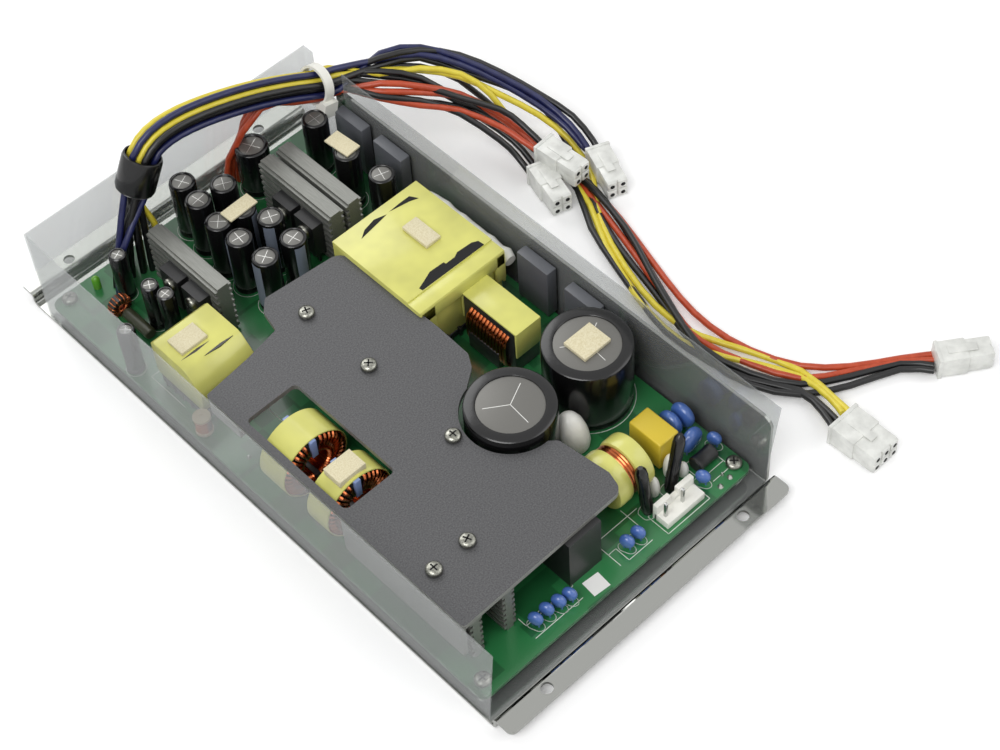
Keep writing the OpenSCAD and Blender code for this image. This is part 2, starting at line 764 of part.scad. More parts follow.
module wire_yellow_1() {
    color("gold") harness_wire([[-24, 100, 8], [-23, 101, 25]], slot_at(2, 1),
        [[77, 87, 36], [90.5, 80, 34], [102, 71, 29], [107, 61, 22], [111, 53, 8], [112, 41, 3],
            [111.5, 27, 2], [106.5, 9, 2], [97, -8, 2], [88, -32, 2], [84.5, -49.5, 2],
            [86, -65, 2], [94, -80.5, 2], [101.5, -97, 2], [100.5, -111, 4], [97.5, -119, 6]]);
}

module wire_yellow_2() {
    color("gold") harness_wire([[-21, 98, 8], [-20, 99, 25]], slot_at(1, 2),
        [[79, 89, 35], [91, 81, 32], [101.5, 71, 28], [110.5, 60, 20], [118.5, 47.5, 12],
            [122, 35, 5], [117.5, 19, 2], [107, 5.5, 2], [98.5, -10, 2], [91, -32, 2],
            [89, -48, 2], [90.5, -60.5, 2], [97.5, -77.5, 2], [103.5, -95.5, 2], [101.5, -112, 4],
            [99.5, -120.5, 6]]);
}

module wire_black_7() {
    color("black") harness_wire([[-27, 95.5, 8], [-25, 97.5, 25]], slot_at(1, 3),
        [[80.5, 90.5, 34], [93, 83, 31], [104, 74.5, 22], [113, 63.5, 6], [116.5, 50.5, 2],
            [113, 34, 2], [108.5, 17.5, 2], [99, 1, 2], [92.5, -17.5, 2], [87.5, -34.5, 2],
            [83.5, -51, 2], [84.5, -71, 2], [88.5, -86, 2], [96.5, -101, 2], [94.5, -113, 4],
            [90.5, -121.5, 6]]);
}

module wire_black_8() {
    color("black") harness_wire([[-38, 97, 8], [-34, 97, 25]], slot_at(2, 5),
        [[80, 90, 36], [94, 84, 34], [104, 73.5, 27], [113.5, 63, 21], [121.5, 50, 14],
            [121.5, 37, 4], [113.5, 19.5, 2], [105.5, 3, 2], [99.5, -13, 2], [94.5, -32, 2],
            [91, -45, 2], [85.5, -65.5, 2], [89, -85, 2], [97, -100.5, 2], [96, -113.5, 4],
            [93.5, -121.5, 6]]);
}

module wire_navy_1() {
    color("navy") harness_wire([[-43, 92, 8], [-38, 95, 25]], slot_at(2, 7),
        [[83, 93, 38], [96, 85.5, 37], [106, 75.5, 31], [114.5, 63.5, 24], [122, 50.5, 16],
            [124.5, 37.5, 10], [123, 27.5, 7], [121.5, 22.5, 5]]);
}

module wire_navy_2() {
    color("navy") harness_wire([[-42, 95.5, 8], [-37, 97.5, 25]], slot_at(2, 3),
        [[81.5, 91.5, 37], [94, 84, 36], [104.5, 74, 30], [113.5, 63, 22], [120.5, 49, 14],
            [123, 37.5, 9], [122.5, 29, 6], [123, 23, 5]]);
}

module wire_black_9() {
    color("black") harness_wire([[-30, 97, 8], [-28, 98.5, 25]], slot_at(2, 11),
        [[81, 90.5, 39], [95, 84.5, 37], [107, 77, 31], [116, 65, 24], [123.5, 52, 16],
            [127.5, 39, 11], [126, 27, 8], [125, 22, 5]]);
}

module ferrite_sleeve() {
    color("black") translate((trunk[0] + trunk[1]) / 2) rotate([0, 28, 0])
        difference() {
            translate([0, 0, -ferrite_l / 2]) cylinder(d = ferrite_d, h = ferrite_l);
            translate([0, 0, -ferrite_l / 2 - cut])
                cylinder(d = 5 * bundle_pitch, h = ferrite_l + 2 * cut);
        }
}

// Strap round the bundle where it leaves the board, with its square head on the camera side
module cable_tie() {
    color("ivory") translate(trunk[8]) rotate([0, 105, 0])
        difference() {
            union() {
                cylinder(d = 5 * bundle_pitch + 2.6, h = 3.6, center = true);
                translate([3, -9, -3]) cube([6, 5, 6]);
            }
            cylinder(d = 5 * bundle_pitch + 0.6, h = 20, center = true);
        }
}

// A cable connector along +Y from its wire end, ways side by side, underside at z = 0
module plug(ways, rows = 2) {
    w = ways * plug_pitch + 1.2;
    h = rows * plug_pitch + 1.2;
    translate([-w / 2, 0, 0]) cube([w, plug_l * 0.55, h]);
    translate([-w / 2 + 0.8, 0, 0.8]) cube([w - 1.6, plug_l, h - 1.6]);
}

module plug_1() {
    color("whitesmoke") translate([103.5, 33, 0]) rotate([0, 0, 163]) plug(2);
}

module plug_2() {
    color("whitesmoke") translate([108.5, 35.5, 6]) rotate([0, 0, 183]) plug(2);
}

module plug_3() {
    color("whitesmoke") translate([124.5, 23.5, 0]) rotate([0, 0, 158]) plug(2);
}

module plug_4() {
    color("whitesmoke") translate([137, -126, 0]) rotate([0, 0, -125]) plug(2);
}

module plug_5() {
    color("whitesmoke") translate([95, -120.5, 0]) rotate([0, 0, -180]) plug(3);
}

chassis();
insulating_film();
circuit_board();
board_spacers();
board_screws();
heat_spreader();
spreader_posts();
spreader_screws();
heatsink_left();
heatsink_mid_a();
heatsink_mid_b();
heatsinks_front();
power_devices();
device_screws();
main_transformer_core();
main_transformer_winding();
output_inductor_core();
output_inductor_winding();
standby_transformer();
toroid_choke_a();
toroid_choke_b();
common_mode_choke();
boxed_inductor();
bulk_capacitors();
output_capacitors();
large_output_capacitors();
x_capacitor();
box_capacitors();
varistors();
disc_capacitors();
thermistors();
fuse();
mains_header();
mains_header_pins();
status_led();
foam_pads();
silicone_beads();
ferrite_sleeve();
cable_tie();
plug_1();
plug_2();
plug_3();
plug_4();
plug_5();
wire_black_1();
wire_black_2();
wire_black_3();
wire_black_5();
wire_black_6();
wire_black_7();
wire_black_8();
wire_black_9();
wire_red_1();
wire_red_2();
wire_red_3();
wire_yellow_1();
wire_yellow_2();
wire_navy_1();
wire_navy_2();
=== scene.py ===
"""Dresses the open frame power supply: finishes, wound parts, capacitors, film and wiring harness."""
import math
import bmesh
import bpy
from bpy.props import FloatProperty, FloatVectorProperty, PointerProperty
from mathutils import Matrix, Vector


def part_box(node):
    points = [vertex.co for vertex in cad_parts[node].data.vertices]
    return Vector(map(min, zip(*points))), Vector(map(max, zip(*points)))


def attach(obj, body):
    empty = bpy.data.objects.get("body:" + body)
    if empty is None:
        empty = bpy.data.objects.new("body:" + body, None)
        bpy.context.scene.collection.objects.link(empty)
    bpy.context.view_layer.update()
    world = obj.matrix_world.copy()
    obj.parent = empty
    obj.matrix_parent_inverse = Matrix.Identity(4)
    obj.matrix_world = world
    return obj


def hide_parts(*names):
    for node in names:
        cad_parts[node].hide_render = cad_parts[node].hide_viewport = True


bl_info = {
    "name": "Open Frame Power Supply",
    "version": (1, 0, 0),
    "blender": (4, 5, 0),
    "location": "3D View > Sidebar > Power Supply",
    "description": "Builds the visible pieces of an open frame power supply on its frame",
    "category": "Object",
}

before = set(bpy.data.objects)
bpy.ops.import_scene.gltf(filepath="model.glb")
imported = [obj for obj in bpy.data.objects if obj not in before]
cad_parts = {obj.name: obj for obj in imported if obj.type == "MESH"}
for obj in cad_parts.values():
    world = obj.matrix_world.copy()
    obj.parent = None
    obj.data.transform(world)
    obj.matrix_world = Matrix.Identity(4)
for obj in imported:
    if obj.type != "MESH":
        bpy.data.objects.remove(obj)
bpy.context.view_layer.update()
MM = 0.001
BODY = "root"


# ---------------------------------------------------------------- small helpers

def colour(code, alpha=1.0):
    """Linear RGBA of an sRGB hex code."""
    parts = [int(code[i:i + 2], 16) / 255 for i in (1, 3, 5)]
    linear = [p / 12.92 if p <= 0.04045 else ((p + 0.055) / 1.055) ** 2.4 for p in parts]
    return (*linear, alpha)


def add(tree, kind, values=None, links=None):
    """Adds a node, sets its sockets or properties by name, and links sockets to outputs."""
    node = tree.nodes.new(kind)
    for name, value in (values or {}).items():
        if isinstance(name, int) or name in node.inputs:
            node.inputs[name].default_value = value
        else:
            setattr(node, name, value)
    for name, output in (links or {}).items():
        tree.links.new(output, node.inputs[name])
    return node


def blank(name):
    """A material with an empty node tree; returns both."""
    material = bpy.data.materials.new(name)
    material.use_nodes = True
    material.node_tree.nodes.clear()
    return material, material.node_tree


def surface(name, code, values=None):
    """A material with one Principled shader; returns the material, its tree and the shader."""
    material, tree = blank(name)
    shader = add(tree, "ShaderNodeBsdfPrincipled", {"Base Color": colour(code), **(values or {})})
    add(tree, "ShaderNodeOutputMaterial", {}, {"Surface": shader.outputs[0]})
    return material, tree, shader


def grain(tree, shader, size, depth, detail=4.0, stretch=(1, 1, 1)):
    """Fine relief of the given grain size and depth in metres; returns the noise node."""
    place = add(tree, "ShaderNodeTexCoord")
    turn = add(tree, "ShaderNodeMapping", {"Scale": stretch}, {"Vector": place.outputs["Object"]})
    noise = add(tree, "ShaderNodeTexNoise", {"Scale": 1 / size, "Detail": detail},
                {"Vector": turn.outputs[0]})
    bump = add(tree, "ShaderNodeBump", {"Strength": 1.0, "Distance": depth},
               {"Height": noise.outputs[0]})
    tree.links.new(bump.outputs[0], shader.inputs["Normal"])
    return noise


def tint(tree, shader, factor, dark, light, low=0.35, high=0.65, socket="Base Color"):
    """Varies a shader's colour between two hex codes by a factor output."""
    ramp = add(tree, "ShaderNodeValToRGB", {}, {"Fac": factor})
    ramp.color_ramp.elements[0].position = low
    ramp.color_ramp.elements[0].color = colour(dark)
    ramp.color_ramp.elements[1].position = high
    ramp.color_ramp.elements[1].color = colour(light)
    tree.links.new(ramp.outputs[0], shader.inputs[socket])
    return ramp


def hex_of(linear):
    """sRGB hex code of a linear colour."""
    parts = [c * 12.92 if c <= 0.0031308 else 1.055 * c ** (1 / 2.4) - 0.055 for c in linear[:3]]
    return "#" + "".join(f"{round(min(max(p, 0), 1) * 255):02X}" for p in parts)


def shade(code, factor):
    """A hex code made darker or lighter."""
    return "#" + "".join(f"{min(round(int(code[i:i + 2], 16) * factor), 255):02X}" for i in (1, 3, 5))


def user_hex(name):
    """Hex code of one of the colours that the user sets in the sidebar."""
    return hex_of(getattr(bpy.context.scene.supply_colours, name))


def user_mm(name):
    """One of the sizes that the user sets in the sidebar, in millimetres."""
    return getattr(bpy.context.scene.supply_sizes, name) / MM


# ---------------------------------------------------------------- finishes

FINISHES = {}


def finish(function):
    """Keeps one copy of each material under its function's name."""
    def once():
        if function.__name__ not in FINISHES:
            FINISHES[function.__name__] = function()
        return FINISHES[function.__name__]
    once.__name__ = function.__name__
    return once


@finish
def zinc_plated_steel():
    """Bright zinc plate over rolled steel: a dark mirror, faintly drawn out by the rolling."""
    material, tree, shader = surface("zinc_plated_steel", "#A3A4A0", {"Metallic": 1.0})
    noise = grain(tree, shader, 0.8 * MM, 0.0012 * MM, 3.0, (1, 0.08, 1))
    rough = add(tree, "ShaderNodeMapRange", {"To Min": 0.04, "To Max": 0.12},
                {"Value": noise.outputs[0]})
    tree.links.new(rough.outputs[0], shader.inputs["Roughness"])
    return material


@finish
def steel_screw():
    """Plated machine screw: grey and satin, its tone varying a little at random."""
    material, tree, shader = surface("plated_screw", "#8A8A84", {"Metallic": 1.0, "Roughness": 0.28})
    noise = grain(tree, shader, 0.6 * MM, 0.01 * MM)
    tint(tree, shader, noise.outputs[0], "#77776F", "#A6A69D", 0.35, 0.7)
    return material


@finish
def bead_blasted_aluminium():
    """Grey conversion coat on bead blasted aluminium: matt, with a fine sparkle, and a painted highlight
    on its upright faces.
    """
    material, tree, shader = surface("bead_blasted_aluminium", "#67676A",
                                     {"Metallic": 0.5, "Roughness": 0.5})
    noise = grain(tree, shader, 0.5 * MM, 0.02 * MM, 6.0)
    ramp = tint(tree, shader, noise.outputs[0], "#464648", "#616162", 0.3, 0.7)
    # Painted highlight: upright faces are mixed up to 45% towards pale grey #B9B9B2, flat faces keep the
    # coat's grey
    edge = add(tree, "ShaderNodeNewGeometry")
    bare = add(tree, "ShaderNodeSeparateXYZ", {}, {"Vector": edge.outputs["True Normal"]})
    side = add(tree, "ShaderNodeMath", {"operation": "ABSOLUTE"}, {0: bare.outputs["Z"]})
    painted_highlight = add(tree, "ShaderNodeMapRange", {"From Min": 0.2, "From Max": 0.6, "To Min": 0.45,
              "To Max": 0.0}, {"Value": side.outputs[0]})
    mix = add(tree, "ShaderNodeMix", {"data_type": "RGBA"}, {0: painted_highlight.outputs[0]})
    tree.links.new(ramp.outputs[0], mix.inputs[6])
    mix.inputs[7].default_value = colour("#B9B9B2")
    tree.links.new(mix.outputs[2], shader.inputs["Base Color"])
    return material


@finish
def extruded_aluminium():
    """Extruded aluminium, milled on top: pale grey with fine draw lines along the bar."""
    material, tree, shader = surface("extruded_aluminium", "#83847F",
                                     {"Metallic": 0.55, "Roughness": 0.42})
    noise = grain(tree, shader, 0.3 * MM, 0.006 * MM, 3.0, (1, 0.05, 1))
    tint(tree, shader, noise.outputs[0], "#7B7C77", "#8C8D88", 0.3, 0.7)
    return material


@finish
def solder_mask():
    """Green solder mask over copper tracks: the copper areas stand a little paler and proud."""
    material, tree, shader = surface("solder_mask", "#2A7A43",
                                     {"Roughness": 0.3, "Coat Weight": 0.4, "Coat Roughness": 0.12})
    place = add(tree, "ShaderNodeTexCoord")
    cells = add(tree, "ShaderNodeTexVoronoi", {"Scale": 1 / (16 * MM), "distance": "CHEBYCHEV",
                "feature": "F1"}, {"Vector": place.outputs["Object"]})
    ramp = tint(tree, shader, cells.outputs["Distance"], "#2B7743", "#1F5F34", 0.42, 0.44)
    bump = add(tree, "ShaderNodeBump", {"Strength": 0.5, "Distance": 0.03 * MM},
               {"Height": ramp.outputs[0]})
    tree.links.new(bump.outputs[0], shader.inputs["Normal"])
    return material


@finish
def black_epoxy():
    """Moulded epoxy with fine filler: near black, slightly grainy."""
    material, tree, shader = surface("moulded_epoxy", "#1B1B1C", {"Roughness": 0.42})
    grain(tree, shader, 0.25 * MM, 0.01 * MM)
    return material


@finish
def sintered_ferrite():
    """Sintered ferrite, tumbled: charcoal and matt with a faint sheen."""
    material, tree, shader = surface("sintered_ferrite", "#232324", {"Roughness": 0.4,
                                     "Coat Weight": 0.25, "Coat Roughness": 0.2})
    noise = grain(tree, shader, 0.5 * MM, 0.012 * MM)
    tint(tree, shader, noise.outputs[0], "#1C1C1D", "#2B2B2C")
    return material


@finish
def polyester_tape():
    """Yellow polyester film tape with acrylic glue: glossy, a little cloudy in its overlaps."""
    material, tree, shader = surface("yellow_polyester_tape", user_hex("tape"),
                                     {"Roughness": 0.3, "Coat Weight": 0.3, "Coat Roughness": 0.1})
    noise = grain(tree, shader, 12 * MM, 0.10 * MM, 2.0)
    tint(tree, shader, noise.outputs[0], shade(user_hex("tape"), 0.94), shade(user_hex("tape"), 1.03),
         0.3, 0.7)
    return material


@finish
def shrink_sleeve():
    """Black PVC shrink sleeve: smooth with a soft gloss."""
    material, tree, shader = surface("shrink_sleeve", "#0D0D0E", {"Roughness": 0.2})
    grain(tree, shader, 2 * MM, 0.02 * MM, 2.0)
    return material


@finish
def moulded_yellow_case():
    """Flame retardant box case, injection moulded in yellow."""
    material, tree, shader = surface("moulded_yellow_case", "#DDC23A", {"Roughness": 0.35})
    grain(tree, shader, 0.4 * MM, 0.01 * MM)
    return material


@finish
def moulded_grey_case():
    """Flame retardant box case, injection moulded in grey."""
    material, tree, shader = surface("moulded_grey_case", "#5C5E63", {"Roughness": 0.4})
    grain(tree, shader, 0.4 * MM, 0.01 * MM)
    return material


@finish
def dipped_epoxy():
    """Blue dipped epoxy: thick, glossy and uneven."""
    material, tree, shader = surface("dipped_blue_epoxy", user_hex("dip"),
                                     {"Roughness": 0.22, "Coat Weight": 0.5, "Coat Roughness": 0.08})
    grain(tree, shader, 1.5 * MM, 0.05 * MM, 2.0)
    return material


@finish
def white_nylon():
    """White nylon 66, moulded: opaque and satin."""
    material, tree, shader = surface("white_nylon", "#EFEEE6", {"Roughness": 0.38})
    grain(tree, shader, 0.5 * MM, 0.01 * MM)
    return material


@finish
def natural_nylon():
    """Undyed nylon 66, moulded: milky, paler where its wall is thin."""
    material, tree, shader = surface("natural_nylon", "#E0E1DC", {"Roughness": 0.28,
                                     "Coat Weight": 0.3, "Coat Roughness": 0.12})
    noise = grain(tree, shader, 5 * MM, 0.015 * MM)
    tint(tree, shader, noise.outputs[0], "#D3D4CF", "#EAEBE6", 0.35, 0.65)
    return material


@finish
def green_lens():
    """Tinted epoxy lens of a light emitting diode."""
    return surface("tinted_green_lens", "#8FE04A", {"Roughness": 0.15,
                   "Transmission Weight": 0.4, "IOR": 1.5})[0]


@finish
def cream_foam():
    """Closed cell foam pad, cream: matt with tiny cells."""
    material, tree, shader = surface("closed_cell_foam", "#DED4B0", {"Roughness": 0.85})
    noise = grain(tree, shader, 0.5 * MM, 0.04 * MM)
    tint(tree, shader, noise.outputs[0], "#D5CAA4", "#E4DCBE")
    return material


@finish
def white_silicone():
    """Neutral cure silicone, hand laid: soft gloss, slightly see-through."""
    material, tree, shader = surface("white_silicone", "#FAF9F2", {"Roughness": 0.32,
                                     "Subsurface Weight": 0.3, "Subsurface Scale": 3 * MM,
                                     "Subsurface Radius": (1, 1, 1)})
    grain(tree, shader, 4 * MM, 0.3 * MM, 2.0)
    return material


@finish
def clear_polyester_film():
    """Clear PET insulating film: see-through with a grey veil and a bright sheen on its edges."""
    material, tree = blank("clear_polyester_film")
    see = add(tree, "ShaderNodeBsdfTransparent", {"Color": colour("#F2F3F3")})
    veil = add(tree, "ShaderNodeBsdfPrincipled",
               {"Base Color": colour("#BFC1C1"), "Roughness": 0.12, "Coat Weight": 1.0})
    mix = add(tree, "ShaderNodeMixShader", {0: 0.24}, {1: see.outputs[0], 2: veil.outputs[0]})
    add(tree, "ShaderNodeOutputMaterial", {}, {"Surface": mix.outputs[0]})
    return material


@finish
def copper_enamel():
    """Enamelled copper wire: red brown varnish over a mirror of copper."""
    return surface("enamelled_copper", "#B4602F", {"Metallic": 1.0, "Roughness": 0.22,
                   "Coat Weight": 0.6, "Coat Roughness": 0.1})[0]


@finish
def blue_strip():
    """Blue grey polyester strip that parts the two windings of a choke."""
    return surface("blue_polyester_strip", "#7F92BE", {"Roughness": 0.3})[0]


@finish
def capacitor_top():
    """Dull etched aluminium end of a capacitor with a dark grey lacquer."""
    material, tree, shader = surface("lacquered_aluminium_end", "#6F6E6A",
                                     {"Metallic": 0.35, "Roughness": 0.36})
    grain(tree, shader, 0.5 * MM, 0.01 * MM)
    return material


@finish
def scored_metal():
    """Bare aluminium in the score of a capacitor's vent: bright and clean."""
    return surface("scored_aluminium", "#E2E2DE", {"Metallic": 0.7, "Roughness": 0.3})[0]


@finish
def paper_label():
    """Bare white paper label with a satin face."""
    return surface("paper_label", "#EDEDEA", {"Roughness": 0.5})[0]


@finish
def solder():
    """Lead-free solder joint: bright and lumpy."""
    material, tree, shader = surface("solder_joint", "#B9B9B4", {"Metallic": 1.0, "Roughness": 0.25})
    grain(tree, shader, 0.8 * MM, 0.15 * MM, 2.0)
    return material


@finish
def olive_sleeve():
    """Dark olive shrink sleeve over a small rod choke."""
    return surface("olive_sleeve", "#3A3C2A", {"Roughness": 0.35})[0]


@finish
def beige_bobbin():
    """Beige phenolic bobbin of a small drum choke."""
    return surface("beige_bobbin", "#B9A98C", {"Roughness": 0.5})[0]


@finish
def grey_print():
    """Grey polarity stripe printed on a sleeve."""
    return surface("grey_stripe_ink", "#757D8C", {"Roughness": 0.4})[0]


@finish
def white_print():
    """White legend ink on solder mask."""
    return surface("white_legend_ink", "#DCE0D8", {"Roughness": 0.6})[0]


@finish
def tinned_lead():
    """Tinned copper lead: bright and slightly wavy."""
    return surface("tinned_copper_lead", "#BFC0BE", {"Metallic": 1.0, "Roughness": 0.25})[0]


@finish
def dark_hollow():
    """Painted shade: a near-black matt sheet set where the inside of a deep cavity lies in shade."""
    return surface("dark_cavity", "#0C0C0C", {"Roughness": 0.9})[0]


def insulation(name, code, light):
    """PVC wire insulation: smooth, with a soft gloss and faint die lines along it."""
    material, tree, shader = surface(name, code, {"Roughness": 0.33})
    noise = grain(tree, shader, 3 * MM, 0.03 * MM, 2.0)
    tint(tree, shader, noise.outputs[0], code, light, 0.3, 0.7)
    return material


@finish
def black_insulation():
    """Black PVC insulation of the harness wires."""
    return insulation("black_insulation", "#0C0C0D", "#141415")


@finish
def red_insulation():
    """Red PVC insulation of the harness wires."""
    return insulation("red_insulation", "#B0401F", "#C2502F")


@finish
def yellow_insulation():
    """Yellow PVC insulation of the harness wires."""
    return insulation("yellow_insulation", "#DCC93A", "#E6D54A")


@finish
def navy_insulation():
    """Navy PVC insulation of the harness wires."""
    return insulation("navy_insulation", "#161A44", "#1E2454")


@finish
def pale_floor():
    """Matt white sheet that the object stands on, a little brighter to the camera."""
    material, tree, shader = surface("pale_floor", "#FAFAFA", {"Roughness": 0.9,
                                     "Emission Color": colour("#FFFFFF")})
    rays = add(tree, "ShaderNodeLightPath")
    glow = add(tree, "ShaderNodeMath", {"operation": "MULTIPLY", 1: 0.14},
               {0: rays.outputs["Is Camera Ray"]})
    tree.links.new(glow.outputs[0], shader.inputs["Emission Strength"])
    return material


# ---------------------------------------------------------------- plain pieces of the frame

# The frame nodes that stay; scene pieces stand for all the others
NODE_FINISH = {
    "chassis": zinc_plated_steel, "insulating_film": clear_polyester_film,
    "circuit_board": solder_mask, "board_spacers": zinc_plated_steel,
    "heat_spreader": bead_blasted_aluminium, "spreader_posts": zinc_plated_steel,
    "heatsink_left": extruded_aluminium, "heatsink_mid_a": extruded_aluminium,
    "heatsink_mid_b": extruded_aluminium, "heatsinks_front": extruded_aluminium,
    "power_devices": black_epoxy, "boxed_inductor": black_epoxy, "status_led": green_lens,
    "cable_tie": white_nylon,
}


# ---------------------------------------------------------------- harness routes

WIRE_D = 2.4
BUNDLE_PITCH = 2.55
TRUNK = [(-22, 102.5, 42), (-16, 102.5, 53.5), (-10, 102.5, 57.5), (-2, 102, 58.5), (8, 101.5, 57),
         (20, 101, 53.5), (33, 100, 49), (46, 98.5, 43.5), (56, 97, 39), (63, 96, 37.5)]


def slot_at(ring, k):
    """Place of a wire in the bundle: ring 0 is the middle, ring 1 has 6 places, ring 2 has 12."""
    if ring == 0:
        return (0, 0)
    angle = math.radians(k * 60 / ring)
    reach = BUNDLE_PITCH * (1.732 if ring == 2 and k % 2 else ring)
    return (reach * math.cos(angle), reach * math.sin(angle))


def beside(path, i, s):
    """Point i of a path, moved sideways to a place in the bundle."""
    t = (path[min(i + 1, len(path) - 1)] - path[max(i - 1, 0)]).normalized()
    n = (Vector((0, 1, 0)) - t * t.y).normalized()
    return path[i] + n * s[0] + t.cross(n) * s[1]


def smooth(points, steps):
    """A smooth path through the points, with that many steps between each two."""
    last = len(points) - 1
    path = []
    for i in range(last):
        a, b = points[max(i - 1, 0)], points[i]
        c, d = points[i + 1], points[min(i + 2, last)]
        for k in range(steps):
            t = k / steps
            path.append(0.5 * (2 * b + (c - a) * t + (2 * a - 5 * b + 4 * c - d) * t * t
                               + (3 * b - a - 3 * c + d) * t ** 3))
    return path + [points[-1]]


def route(foot, first, place, tail, steps=2):
    """The whole route of a wire: its foot, its place in the bundle from point first, its tail."""
    trunk = [Vector(p) for p in TRUNK]
    middle = [beside(trunk, i, slot_at(*place)) for i in range(first, len(trunk))]
    return smooth([Vector(p) for p in foot] + middle + [Vector(p) for p in tail], steps)


